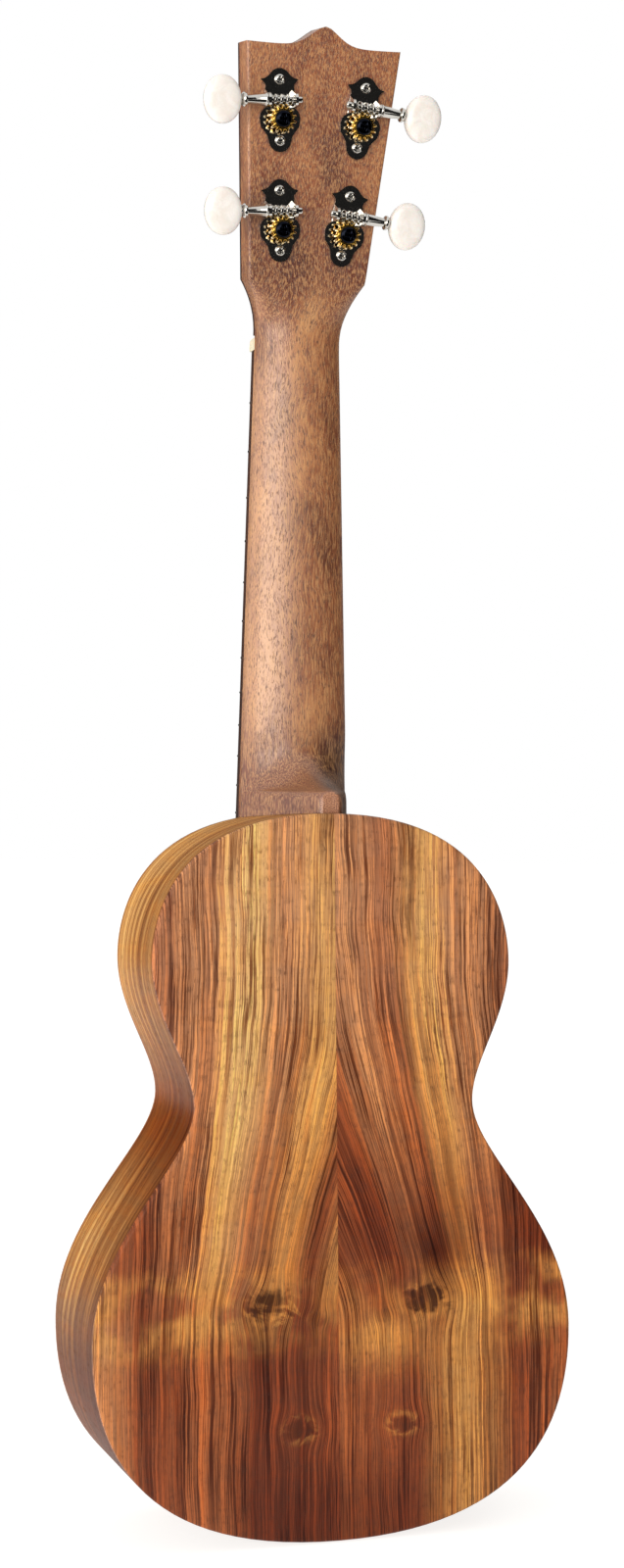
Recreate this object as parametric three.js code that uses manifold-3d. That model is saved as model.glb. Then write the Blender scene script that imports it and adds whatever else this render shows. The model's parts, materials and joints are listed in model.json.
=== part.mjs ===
// Concert ukulele: a hollow figure-eight body, a carved neck with its headstock in one piece,
// and four open-gear tuning machines.
//
// Frame, in millimetres: the instrument stands upright on its tail. +Z runs up towards the
// headstock, the soundboard faces -Y, the back faces +Y, and X = 0 is the plane of symmetry.
// Inside the headstock group the local axes are: x to the right as seen from behind, y up
// along the headstock and z out of its rear face.

import * as THREE from 'three';
import { mergeVertices } from 'three/addons/utils/BufferGeometryUtils.js';
import Module from 'manifold-3d';

const wasm = await Module();
wasm.setup();

// ---------------------------------------------------------------- driving dimensions

const SCALE_LENGTH = 381; // nut to saddle, the concert scale
const FRETS = 17;
const BODY_LENGTH = 279.4;
const LOWER_BOUT = { half: 97, z: 77.7 };
const WAIST = { half: 56.9, z: 166.6 };
const UPPER_BOUT = { half: 73.2, z: 221.8 };
const OUTLINE_HANDLES = { tail: 75.3, belowLower: 41.5, aboveLower: 40.4, belowWaist: 20.9 };
const UPPER_HANDLES = { aboveWaist: 15.6, belowUpper: 22.1, aboveUpper: 16.6, shoulder: 65.4 };
const TAIL_DEPTH = 71.5; // soundboard to back at the tail
const NECK_DEPTH = 56; // the same at the neck joint
const PLATE = 2.2; // thickness of the soundboard, back and sides
const GAP = 0.3; // glue line or running clearance between separate pieces

const STRING_CREST = 11.2; // strings over the soundboard at the saddle
const FRONT_Y = -(TAIL_DEPTH - STRING_CREST) / 2; // outer face of the soundboard
const NUT_Z = BODY_LENGTH + SCALE_LENGTH / 2;
const SADDLE_Z = BODY_LENGTH - SCALE_LENGTH / 2;

const SOUND_HOLE = { z: 184, radius: 28 };

const NECK = { halfNut: 17.75, halfBody: 22.7, depthNut: 13, depthBody: 16.2, wall: 2.4 };
const HEEL = { start: 28, depth: 51.4, capHalf: 4.1, capLength: 8.8 };

const HEAD = {
  tilt: THREE.MathUtils.degToRad(12.04),
  rearAtNut: 10.13, // rear face behind the soundboard plane, level with the nut
  wood: 11, // thickness of the neck wood in the headstock
  veneer: 1.8, // thickness of the front headplate
  cornerZ: 26.35, // where the outline turns from the flare to the straight edge
  cornerHalf: 24.9,
  edgeTop: 119.2,
  topHalf: 32.45,
  crest: 7.9, // height of the central peak over the edge
  lean: 0.028, // how far the outline is cut out of square
  hollow: 4, // reach of the hollow where the rear of the neck turns into the head
};

const BOARD = { thick: 4.2, overhang: 4, fretHeight: 1, fretWidth: 2 };
const NUT = { length: 5, crest: 7.3 };
const STRINGS = [
  { name: 'g', side: 1, row: 0, nutX: 13.4, saddleX: 20, radius: 0.3 },
  { name: 'c', side: 1, row: 1, nutX: 4.5, saddleX: 6.7, radius: 0.42 },
  { name: 'e', side: -1, row: 1, nutX: -4.5, saddleX: -6.7, radius: 0.36 },
  { name: 'a', side: -1, row: 0, nutX: -13.4, saddleX: -20, radius: 0.28 },
];
const NUT_STRING = 6.6; // string centre over the soundboard plane at the nut
const SADDLE_STRING = STRING_CREST - 0.42;

// Tuning machines: rows nearer the nut and nearer the tip, and the gear train.
const MACHINE_ROWS = [{ x: 13.75, y: 46.4 }, { x: 17, y: 89.4 }];
const MACHINE_LEAN = THREE.MathUtils.degToRad(4.65);
const TEETH = 14;
const CENTRES = 7.4; // gear axis to worm axis
const GEAR_PITCH_R = 5.5;
const WORM_PITCH_R = CENTRES - GEAR_PITCH_R;
const THREAD_PITCH = (2 * Math.PI * GEAR_PITCH_R) / TEETH;
const ADDENDUM = 0.42;
const DEDENDUM = 0.8;
const WORM_Z = 4.8; // worm axis over the headstock's rear face
const GEAR = { low: 3.5, high: 6.1, squareHalf: 1.9 };
const BASE = { low: GAP, high: 1.5 };
const EAR = { inner: 4.9, outer: 6.1, top: 7.6 };
const POST = { radius: 3, waist: 2.4, tip: -25.2 };
const BUTTON = { start: 17, length: 15.5, width: 19, thick: 6.4 };
const PLATE_SCREWS = { top: 15.4, low: -8.3 };
const SCREW_HOLE_R = 1.3; // for the plate screws, in plate and wood
const POST_HOLE_R = POST.radius + 1.5; // through the headstock, with room for the bushing

const finishes = {
  koa: { color: 0xb0783f, roughness: 0.45, metalness: 0 },
  koaSide: { color: 0xb48a4e, roughness: 0.45, metalness: 0 },
  mahogany: { color: 0x96603a, roughness: 0.5, metalness: 0 },
  rosewood: { color: 0x3a241b, roughness: 0.5, metalness: 0 },
  spruce: { color: 0xd9bc8a, roughness: 0.7, metalness: 0 },
  nickel: { color: 0xc9c7c2, roughness: 0.22, metalness: 1 },
  brass: { color: 0xc9a24a, roughness: 0.3, metalness: 1 },
  blackScrew: { color: 0x1a1c22, roughness: 0.3, metalness: 1 },
  pearl: { color: 0xf3efe6, roughness: 0.25, metalness: 0 },
  bone: { color: 0xe9e0c8, roughness: 0.4, metalness: 0 },
  nylon: { color: 0xe6e2d8, roughness: 0.35, metalness: 0 },
};

// ---------------------------------------------------------------- helpers

const v3 = (x, y, z) => new THREE.Vector3(x, y, z);
const lerp = THREE.MathUtils.lerp;
const smooth = THREE.MathUtils.smoothstep;

function toSolid(geometry) {
  const bare = geometry.clone();
  for (const name of Object.keys(bare.attributes)) {
    if (name !== 'position') bare.deleteAttribute(name);
  }
  const merged = mergeVertices(bare, 1e-5);
  const vertProperties = new Float32Array(merged.attributes.position.array);
  const triVerts = new Uint32Array(merged.index.array);
  return new wasm.Manifold(new wasm.Mesh({ numProp: 3, vertProperties, triVerts }));
}

function toGeometry(solid) {
  const shape = solid.getMesh();
  const geometry = new THREE.BufferGeometry();
  geometry.setAttribute('position', new THREE.BufferAttribute(shape.vertProperties, 3));
  geometry.setIndex(new THREE.BufferAttribute(shape.triVerts, 1));
  return geometry;
}

function cut(geometry, tools) {
  let solid = toSolid(geometry);
  for (const tool of tools) solid = solid.subtract(toSolid(tool));
  return toGeometry(solid);
}

function join(geometries) {
  let solid = toSolid(geometries[0]);
  for (const other of geometries.slice(1)) solid = solid.add(toSolid(other));
  return toGeometry(solid);
}

function common(first, second) {
  return toGeometry(toSolid(first).intersect(toSolid(second)));
}

function piece(parent, name, geometry, finish) {
  const material = new THREE.MeshStandardMaterial(finishes[finish]);
  const mesh = new THREE.Mesh(geometry, material);
  mesh.name = name;
  parent.add(mesh);
  return mesh;
}

function box(x0, x1, y0, y1, z0, z1) {
  const geometry = new THREE.BoxGeometry(x1 - x0, y1 - y0, z1 - z0);
  return geometry.translate((x0 + x1) / 2, (y0 + y1) / 2, (z0 + z1) / 2);
}

// A cylinder along z, from z0 to z1.
function rod(radius, z0, z1, x = 0, y = 0, segments = 16) {
  const geometry = new THREE.CylinderGeometry(radius, radius, z1 - z0, segments);
  return geometry.rotateX(Math.PI / 2).translate(x, y, (z0 + z1) / 2);
}

// A turned piece about z from [radius, z] points that start and end on the axis.
function turned(profile, segments = 16) {
  const points = profile.map(([radius, z]) => new THREE.Vector2(radius, z));
  return new THREE.LatheGeometry(points, segments).rotateX(Math.PI / 2);
}

function flipWinding(geometry) {
  const flipped = geometry.index ? geometry.toNonIndexed() : geometry.clone();
  const position = flipped.attributes.position;
  for (let i = 0; i < position.count; i += 3) {
    const second = v3().fromBufferAttribute(position, i + 1);
    const third = v3().fromBufferAttribute(position, i + 2);
    position.setXYZ(i + 1, third.x, third.y, third.z);
    position.setXYZ(i + 2, second.x, second.y, second.z);
  }
  flipped.deleteAttribute('normal');
  return flipped;
}

function mirrored(geometry) {
  return flipWinding(geometry.clone().scale(-1, 1, 1));
}

function signedVolume(positions, index) {
  const corner = (i) => v3(positions[3 * i], positions[3 * i + 1], positions[3 * i + 2]);
  let volume = 0;
  for (let i = 0; i < index.length; i += 3) {
    const [a, b, c] = [corner(index[i]), corner(index[i + 1]), corner(index[i + 2])];
    volume += a.dot(b.cross(c)) / 6;
  }
  return volume;
}

// A closed skin through rings of equal length. Caps adds the triangles of both ends, given the
// index list, the number of points in a ring and the index where the last ring starts.
function skinned(rings, caps, extraPoints = []) {
  const n = rings[0].length;
  const positions = [...rings.flat(), ...extraPoints].flatMap((p) => [p.x, p.y, p.z]);
  const index = [];
  for (let r = 0; r + 1 < rings.length; r += 1) {
    for (let k = 0; k < n; k += 1) {
      const [a, b] = [r * n + k, r * n + ((k + 1) % n)];
      index.push(a, b, b + n, a, b + n, a + n);
    }
  }
  caps(index, n, (rings.length - 1) * n);
  if (signedVolume(positions, index) < 0) index.reverse();
  const geometry = new THREE.BufferGeometry();
  geometry.setAttribute('position', new THREE.Float32BufferAttribute(positions, 3));
  geometry.setIndex(index);
  return geometry;
}

// A skin through rings of even length that are symmetric, so that its ends can be closed by
// strips between point k and its partner, point n - 1 - k.
function loft(rings) {
  return skinned(rings, (index, n, last) => {
    for (let k = 0; k + 1 < n / 2; k += 1) {
      const [a, b, c, d] = [k, k + 1, n - 2 - k, n - 1 - k];
      index.push(a, c, b, a, d, c);
      index.push(last + a, last + b, last + c, last + a, last + c, last + d);
    }
  });
}

// A skin through two star-shaped rings about z, with each end a fan from its centre.
function starLoft(bottom, top) {
  const centres = [v3(0, 0, bottom[0].z), v3(0, 0, top[0].z)];
  return skinned([bottom, top], (index, n, last) => {
    for (let k = 0; k < n; k += 1) {
      const next = (k + 1) % n;
      index.push(2 * n, next, k);
      index.push(2 * n + 1, last + k, last + next);
    }
  }, centres);
}

// A round tube with a ring at each point of a path that bends only gently.
function tube(path, radius, sides = 6) {
  const rings = path.map((point, i) => {
    const before = path[Math.max(i - 1, 0)];
    const after = path[Math.min(i + 1, path.length - 1)];
    const along = after.clone().sub(before).normalize();
    const across = v3(1, 0, 0).addScaledVector(along, -along.x).normalize();
    const up = along.clone().cross(across);
    return Array.from({ length: sides }, (_, k) => {
      const angle = (2 * Math.PI * (k + 0.5)) / sides;
      const offset = across.clone().multiplyScalar(radius * Math.cos(angle));
      return point.clone().add(offset.addScaledVector(up, radius * Math.sin(angle)));
    });
  });
  return loft(rings);
}

// ---------------------------------------------------------------- body

const bodyCurves = [
  [[0, 0], [OUTLINE_HANDLES.tail, 0],
    [LOWER_BOUT.half, LOWER_BOUT.z - OUTLINE_HANDLES.belowLower], [LOWER_BOUT.half, LOWER_BOUT.z]],
  [[LOWER_BOUT.half, LOWER_BOUT.z], [LOWER_BOUT.half, LOWER_BOUT.z + OUTLINE_HANDLES.aboveLower],
    [WAIST.half, WAIST.z - OUTLINE_HANDLES.belowWaist], [WAIST.half, WAIST.z]],
  [[WAIST.half, WAIST.z], [WAIST.half, WAIST.z + UPPER_HANDLES.aboveWaist],
    [UPPER_BOUT.half, UPPER_BOUT.z - UPPER_HANDLES.belowUpper], [UPPER_BOUT.half, UPPER_BOUT.z]],
  [[UPPER_BOUT.half, UPPER_BOUT.z], [UPPER_BOUT.half, UPPER_BOUT.z + UPPER_HANDLES.aboveUpper],
    [UPPER_HANDLES.shoulder, BODY_LENGTH], [0, BODY_LENGTH]],
].map((points) => new THREE.CubicBezierCurve(...points.map(([x, z]) => new THREE.Vector2(x, z))));

// Half of the figure-eight outline from tail to neck joint, moved in by an inset.
function halfOutline(inset, stepsPerCurve = 8) {
  const points = [];
  bodyCurves.forEach((curve, c) => {
    for (let i = c ? 1 : 0; i <= stepsPerCurve; i += 1) {
      const at = curve.getPoint(i / stepsPerCurve);
      const along = curve.getTangent(i / stepsPerCurve);
      points.push(new THREE.Vector2(at.x - inset * along.y, at.y + inset * along.x));
    }
  });
  points[0].x = 0;
  points[points.length - 1].x = 0;
  return points;
}

const flipX = (points) => points.map((p) => new THREE.Vector2(-p.x, p.y)).reverse();

function wholeOutline(inset) {
  const half = halfOutline(inset);
  return [...half, ...flipX(half).slice(1, -1)];
}

// Height of the outline's shoulder over X, close to the neck joint.
function shoulderZ(x) {
  const curve = bodyCurves[3];
  let [low, high] = [0.5, 1];
  for (let i = 0; i < 40; i += 1) {
    const middle = (low + high) / 2;
    if (curve.getPoint(middle).x > Math.abs(x)) low = middle;
    else high = middle;
  }
  return curve.getPoint(low).y;
}

const backY = (z) => FRONT_Y + lerp(TAIL_DEPTH, NECK_DEPTH, z / BODY_LENGTH);

// A slab whose plan is an XZ outline and whose two faces are given as Y over Z.
function slab(outline, frontY, rearY, holes = []) {
  const shape = new THREE.Shape(outline);
  shape.holes.push(...holes);
  const geometry = new THREE.ExtrudeGeometry(shape, {
    depth: 1, bevelEnabled: false, curveSegments: 16,
  });
  const position = geometry.attributes.position;
  for (let i = 0; i < position.count; i += 1) {
    const [x, z, depth] = [position.getX(i), position.getY(i), position.getZ(i)];
    position.setXYZ(i, x, lerp(rearY(z), frontY(z), depth), z);
  }
  geometry.deleteAttribute('normal');
  return geometry;
}

const topInner = () => FRONT_Y + PLATE;
const backInner = (z) => backY(z) - PLATE;
const shifted = (face, by) => (z) => face(z) + by;

const BLOCKS = { neckHalf: 28, neckLength: 18, tailHalf: 24, tailLength: 12 };
const LINING = { thick: 4.6, height: 6 };
const BRACE = { height: 8, half: 4, top: 222, backUpper: 212, backLower: 84 };
const WIDE = 120; // reaches past the body in X and Y
const insideTop = shifted(topInner, GAP);
const insideBack = shifted(backInner, -GAP);

function addBody(parent) {
  const hole = new THREE.Path().absarc(0, SOUND_HOLE.z, SOUND_HOLE.radius, 0, 2 * Math.PI);
  const whole = wholeOutline(0);
  piece(parent, 'soundboard', slab(whole, () => FRONT_Y, topInner, [hole]), 'koa');

  const half = halfOutline(0);
  const rim = [...half, ...halfOutline(PLATE).reverse()];
  for (const [side, sign] of [['left', 1], ['right', -1]]) {
    const plan = sign > 0 ? half : flipX(half);
    const wall = sign > 0 ? rim : flipX(rim);
    piece(parent, `back_${side}`, slab(plan, backInner, backY), 'koa');
    piece(parent, `side_${side}`, slab(wall, insideTop, insideBack), 'koaSide');
  }
}

function addBodyInside(parent) {
  const room = slab(wholeOutline(PLATE + GAP), insideTop, insideBack);
  const { neckHalf, neckLength, tailHalf, tailLength } = BLOCKS;
  const neckBox = box(-neckHalf, neckHalf, -WIDE, WIDE, BODY_LENGTH - neckLength, BODY_LENGTH);
  const tailBox = box(-tailHalf, tailHalf, -WIDE, WIDE, -1, tailLength);
  piece(parent, 'neck_block', common(room, neckBox), 'mahogany');
  piece(parent, 'tail_block', common(room, tailBox), 'mahogany');

  const outer = halfOutline(PLATE + GAP);
  const strip = [...outer, ...halfOutline(PLATE + GAP + LINING.thick).reverse()];
  const [topEdge, backEdge] = [shifted(insideTop, LINING.height), shifted(insideBack, -LINING.height)];
  const clear = [
    box(-neckHalf - GAP, neckHalf + GAP, -WIDE, WIDE, BODY_LENGTH / 2, BODY_LENGTH),
    box(-tailHalf - GAP, tailHalf + GAP, -WIDE, WIDE, -1, BODY_LENGTH / 2),
  ];
  for (const [side, sign] of [['left', 1], ['right', -1]]) {
    const plan = sign > 0 ? strip : flipX(strip);
    piece(parent, `top_lining_${side}`, cut(slab(plan, insideTop, topEdge), clear), 'spruce');
    piece(parent, `back_lining_${side}`, cut(slab(plan, backEdge, insideBack), clear), 'spruce');
  }

  const inner = wholeOutline(PLATE + LINING.thick + 2 * GAP);
  const bars = [
    ['top_brace', BRACE.top, slab(inner, insideTop, shifted(insideTop, BRACE.height))],
    ['back_brace_upper', BRACE.backUpper, slab(inner, shifted(insideBack, -BRACE.height), insideBack)],
    ['back_brace_lower', BRACE.backLower, slab(inner, shifted(insideBack, -BRACE.height), insideBack)],
  ];
  for (const [name, z, sheet] of bars) {
    const window = box(-WIDE, WIDE, -WIDE, WIDE, z - BRACE.half, z + BRACE.half);
    piece(parent, name, common(sheet, window), 'spruce');
  }
}

// ---------------------------------------------------------------- neck and headstock

const [SIN, COS] = [Math.sin(HEAD.tilt), Math.cos(HEAD.tilt)];

// A point of the headstock frame (x right from behind, y up, z out of the rear) in the row frame.
const headPoint = (x, y, z) => v3(
  -x, FRONT_Y + HEAD.rearAtNut + y * SIN + z * COS, NUT_Z + y * COS - z * SIN,
);

// The wood's front face leaves the soundboard plane at this height and leans back with the head.
const KINK_Y = (HEAD.wood * COS - HEAD.rearAtNut) / SIN;
const KINK_Z = NUT_Z + KINK_Y * COS + HEAD.wood * SIN;

// Half width of the headstock over its height: a concave flare, then a straight taper.
function headHalf(y) {
  if (y < HEAD.cornerZ) {
    const t = Math.max(y - 2, 0) / (HEAD.cornerZ - 2);
    return NECK.halfNut + (HEAD.cornerHalf - NECK.halfNut) * t ** 2.2;
  }
  const t = (y - HEAD.cornerZ) / (HEAD.edgeTop - HEAD.cornerZ);
  return lerp(HEAD.cornerHalf, HEAD.topHalf, t);
}

// Height of the crown over x: a soft central peak between two shallow scallops.
function crownY(x) {
  const peak = HEAD.crest * Math.exp(-((Math.abs(x) / 8) ** 1.8));
  return HEAD.edgeTop + peak + 0.3 * (x / HEAD.topHalf) ** 4;
}

const leaned = (x, y) => y + HEAD.lean * x * smooth(y, 4, HEAD.cornerZ);

// Rear profile of neck and headstock on the centre line, as depth behind the soundboard plane.
function rearDepth(z) {
  const onNeck = lerp(NECK.depthBody, NECK.depthNut, (z - BODY_LENGTH) / (NUT_Z - BODY_LENGTH));
  const onHead = HEAD.rearAtNut + (z - NUT_Z) * Math.tan(HEAD.tilt);
  const near = Math.max(HEAD.hollow - Math.abs(onNeck - onHead), 0);
  return Math.max(onNeck, onHead) + near ** 2 / (4 * HEAD.hollow);
}

// Depth of the heel on the centre line, over the height above the neck joint.
function heelDepth(rise) {
  const under = rearDepth(BODY_LENGTH + rise);
  if (rise >= HEEL.start) return under;
  if (rise <= HEEL.capLength) return HEEL.depth;
  const t = (rise - HEEL.capLength) / (HEEL.start - HEEL.capLength);
  return lerp(HEEL.depth, under, Math.sqrt(1 - (1 - t) ** 2.2));
}

// One section's ring: the flat front from -x to +x, then the rounded rear back again.
function neckRing({ half, front, rear, wall, flat, power, steps = 14 }) {
  const across = Array.from({ length: steps + 1 }, (_, i) => Math.sin((i / steps - 0.5) * Math.PI));
  const rearShare = (u) => {
    const out = Math.max(Math.abs(u) - flat, 0) / (1 - flat);
    return wall + (1 - wall) * Math.max(1 - out ** power, 0) ** (1 / power);
  };
  const ring = across.map((u) => front(u * half(u)));
  for (const u of across.slice().reverse()) {
    const x = u * half(u);
    ring.push(front(x).lerp(rear(x), rearShare(u)));
  }
  return ring;
}

function neckSection(z, along) {
  const share = (z - BODY_LENGTH) / (NUT_Z - BODY_LENGTH);
  const width = lerp(NECK.halfBody, NECK.halfNut, share);
  const depth = heelDepth(z - BODY_LENGTH);
  const heel = 1 - smooth(z - BODY_LENGTH, HEEL.capLength, HEEL.start + 8);
  const level = (x) => (along ? shoulderZ(x) + GAP : z);
  return neckRing({
    half: () => width,
    front: (x) => v3(x, FRONT_Y, level(x)),
    rear: (x) => v3(x, FRONT_Y + depth, level(x)),
    wall: NECK.wall / depth,
    flat: heel * (HEEL.capHalf / width),
    power: lerp(2.15, 1.12, heel),
  });
}

// Sections fan from level to square with the tilted head across the nut.
function bendSection(turn) {
  const angle = HEAD.tilt * turn;
  const z = lerp(NUT_Z - 20, KINK_Z, turn);
  let depth = rearDepth(z);
  for (let i = 0; i < 12; i += 1) depth = rearDepth(z - depth * Math.sin(angle)) / Math.cos(angle);
  const share = (z - BODY_LENGTH) / (NUT_Z - BODY_LENGTH);
  const width = Math.max(lerp(NECK.halfBody, NECK.halfNut, share), NECK.halfNut);
  return neckRing({
    half: () => width,
    front: (x) => v3(x, FRONT_Y, z),
    rear: (x) => v3(x, FRONT_Y + depth * Math.cos(angle), z - depth * Math.sin(angle)),
    wall: NECK.wall / depth,
    flat: 0,
    power: 2.15,
  });
}

function headSection(rise) {
  const bottom = HEAD.cornerZ;
  const climb = Math.max(rise - bottom, 0) / (HEAD.edgeTop - bottom);
  const square = smooth(rise, 6, HEAD.cornerZ + 4);
  const heightOver = (x) => (rise <= bottom ? rise : lerp(bottom, crownY(x), climb));
  const at = (x, z) => {
    const y = heightOver(x);
    return headPoint(-x, leaned(-x, y), z);
  };
  const fill = rearDepth(headPoint(0, rise, 0).z) - (headPoint(0, rise, 0).y - FRONT_Y);
  return neckRing({
    half: () => headHalf(heightOver(HEAD.topHalf)),
    front: (x) => at(x, -HEAD.wood),
    rear: (x) => at(x, Math.max(fill, 0) * COS),
    wall: lerp(NECK.wall / 13, 0.9, square),
    flat: lerp(0, 0.94, square),
    power: lerp(2.15, 2, square),
  });
}

function neckGeometry() {
  const risesAtHeel = [HEEL.capLength, 9.8, 11.8, 14.8, 18.8, 23.5, 30, 36];
  const rings = [neckSection(BODY_LENGTH, true)];
  for (const rise of risesAtHeel) rings.push(neckSection(BODY_LENGTH + rise, false));
  for (const z of [350, 390, 425]) rings.push(neckSection(z, false));
  for (const turn of [0, 0.33, 0.67, 1]) rings.push(bendSection(turn));
  for (const rise of [8, 13, 17, 20.5, 23.5, HEAD.cornerZ, 31, HEAD.edgeTop]) {
    rings.push(headSection(rise));
  }
  return loft(rings);
}

function machinePlaces() {
  return STRINGS.map(({ name, side, row }) => ({
    name, side, x: side * MACHINE_ROWS[row].x, y: MACHINE_ROWS[row].y,
  }));
}

// A place on a machine (x outwards, y up its plate) in the headstock's x and y.
function onMachine({ side, x, y }, outwards, up) {
  const [c, s] = [Math.cos(MACHINE_LEAN), Math.sin(MACHINE_LEAN)];
  return [x + side * (outwards * c + up * s), y + up * c - outwards * s];
}

function headHoles() {
  const holes = [];
  for (const place of machinePlaces()) {
    holes.push(rod(POST_HOLE_R, -HEAD.wood - 5, 1, place.x, place.y, 18));
    for (const up of Object.values(PLATE_SCREWS)) {
      holes.push(rod(SCREW_HOLE_R, -8, 1, ...onMachine(place, 0, up), 8));
    }
  }
  return holes;
}

const headMatrix = new THREE.Matrix4()
  .makeBasis(v3(-1, 0, 0), v3(0, SIN, COS), v3(0, COS, -SIN))
  .setPosition(0, FRONT_Y + HEAD.rearAtNut, NUT_Z);

function addNeck(parent) {
  const holes = headHoles().map((hole) => hole.applyMatrix4(headMatrix));
  piece(parent, 'neck', cut(neckGeometry(), holes), 'mahogany');
}

function headplateGeometry() {
  const [start, points] = [3.4, []];
  const rises = [start, 8, 12, 16, 19, 22, 24.5, HEAD.cornerZ, HEAD.edgeTop];
  for (const y of rises) points.push([headHalf(y), y]);
  for (let i = 1; i < 20; i += 1) {
    const x = HEAD.topHalf * Math.cos((i / 20) * Math.PI);
    points.push([x, crownY(x)]);
  }
  for (const y of rises.slice().reverse()) points.push([-headHalf(y), y]);
  const shape = new THREE.Shape(points.map(([x, y]) => new THREE.Vector2(x, leaned(x, y))));
  for (const { x, y } of machinePlaces()) {
    shape.holes.push(new THREE.Path().absarc(x, y, POST_HOLE_R, 0, 2 * Math.PI, true));
  }
  const geometry = new THREE.ExtrudeGeometry(shape, {
    depth: HEAD.veneer, bevelEnabled: false, curveSegments: 9,
  });
  return geometry.translate(0, 0, -HEAD.wood - GAP - HEAD.veneer);
}

const FACE = -HEAD.wood - GAP - HEAD.veneer; // front of the headplate in the head's z

// ---------------------------------------------------------------- fingerboard, nut and bridge

const fretZ = (n) => NUT_Z - SCALE_LENGTH * (1 - 2 ** (-n / 12));
const boardHalf = (z) => lerp(NECK.halfBody, NECK.halfNut, (z - BODY_LENGTH) / (NUT_Z - BODY_LENGTH));

function fingerboardGeometry() {
  const [end, start] = [fretZ(FRETS) - BOARD.overhang, NUT_Z - GAP];
  const plan = [[-boardHalf(end), end], [boardHalf(end), end],
    [boardHalf(start), start], [-boardHalf(start), start]];
  const outline = plan.map(([x, z]) => new THREE.Vector2(x, z));
  const face = FRONT_Y - GAP - BOARD.thick;
  const parts = [slab(outline, () => face, () => FRONT_Y - GAP)];
  for (let n = 1; n <= FRETS; n += 1) {
    const width = 2 * boardHalf(fretZ(n)) - 0.4;
    const wire = new THREE.CylinderGeometry(BOARD.fretWidth / 2, BOARD.fretWidth / 2, width, 8);
    wire.rotateY(Math.PI / 8).rotateZ(Math.PI / 2);
    parts.push(wire.translate(0, face, fretZ(n)));
  }
  return join(parts);
}

// The string's way: tie block, saddle, nut, and the inner side of its post.
function stringPath({ side, row, nutX, saddleX, radius }) {
  const post = MACHINE_ROWS[row];
  const inner = side * (post.x - POST.waist - GAP - radius - 0.1);
  const over = (x, height, z) => v3(-x, FRONT_Y - height, z);
  const nutTop = NUT_STRING;
  const climb = (nutTop - SADDLE_STRING) / SCALE_LENGTH;
  return [
    over(saddleX, 4.9, SADDLE_Z - 12.6),
    over(saddleX, 4.9, SADDLE_Z - 6.2),
    over(saddleX, 5.3, SADDLE_Z - 5.3),
    over(saddleX, SADDLE_STRING - 1, SADDLE_Z - 1.1),
    over(saddleX, SADDLE_STRING, SADDLE_Z),
    over(lerp(saddleX, nutX, 1 / SCALE_LENGTH), SADDLE_STRING + climb, SADDLE_Z + 1),
    over(nutX, nutTop, NUT_Z),
    over(nutX, nutTop, NUT_Z + 1.5),
    headPoint(lerp(nutX, inner, 0.04), 6, FACE - 4.1),
    headPoint(inner, post.y + 1, FACE - 4.1),
  ];
}

function addStrings(parent) {
  for (const string of STRINGS) {
    piece(parent, `string_${string.name}`, tube(stringPath(string), string.radius), 'nylon');
  }
}

const stringRooms = () => STRINGS.map((s) => tube(stringPath(s), s.radius + GAP + 0.06));

function addFingerboard(parent) {
  const width = NECK.halfNut - 0.1;
  const nut = box(-width, width, FRONT_Y - NUT.crest, FRONT_Y - GAP, NUT_Z, NUT_Z + NUT.length);
  piece(parent, 'fingerboard', fingerboardGeometry(), 'rosewood');
  piece(parent, 'nut', cut(nut, stringRooms()), 'bone');
}

const BRIDGE = { half: 46, block: 30, low: -11.4, high: 10, wing: 3, top: 7.4 };
const SADDLE = { half: 27, thick: 2.6, foot: 4.2, crest: SADDLE_STRING - 0.3 };

function bridgeGeometry() {
  const across = (height0, height1, z0, z1, half) => box(
    -half, half, FRONT_Y - height1, FRONT_Y - height0, SADDLE_Z + z0, SADDLE_Z + z1,
  );
  const { low, high, wing, top, block, half } = BRIDGE;
  const body = join([
    across(GAP, wing, low, high, half),
    across(GAP, top, low, -6.6, block),
    across(GAP, top, -4.6, high, block),
  ]);
  const slot = across(SADDLE.foot, 20, -SADDLE.thick / 2 - GAP, SADDLE.thick / 2 + GAP, SADDLE.half + GAP);
  return cut(body, [slot, ...stringRooms()]);
}

function saddleGeometry() {
  const { half, thick, foot, crest } = SADDLE;
  const shape = new THREE.Shape()
    .moveTo(SADDLE_Z - thick / 2, foot + GAP)
    .lineTo(SADDLE_Z + thick / 2, foot + GAP)
    .lineTo(SADDLE_Z + thick / 2, crest - thick / 2)
    .absarc(SADDLE_Z, crest - thick / 2, thick / 2, 0, Math.PI)
    .closePath();
  const bar = new THREE.ExtrudeGeometry(shape, { depth: 2 * half, bevelEnabled: false, curveSegments: 6 });
  const place = new THREE.Matrix4().makeBasis(v3(0, 0, 1), v3(0, -1, 0), v3(1, 0, 0));
  return cut(bar.applyMatrix4(place.setPosition(-half, FRONT_Y, 0)), stringRooms());
}

function addBridge(parent) {
  piece(parent, 'bridge', bridgeGeometry(), 'rosewood');
  piece(parent, 'saddle', saddleGeometry(), 'bone');
}

// ---------------------------------------------------------------- tuning machines

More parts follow.
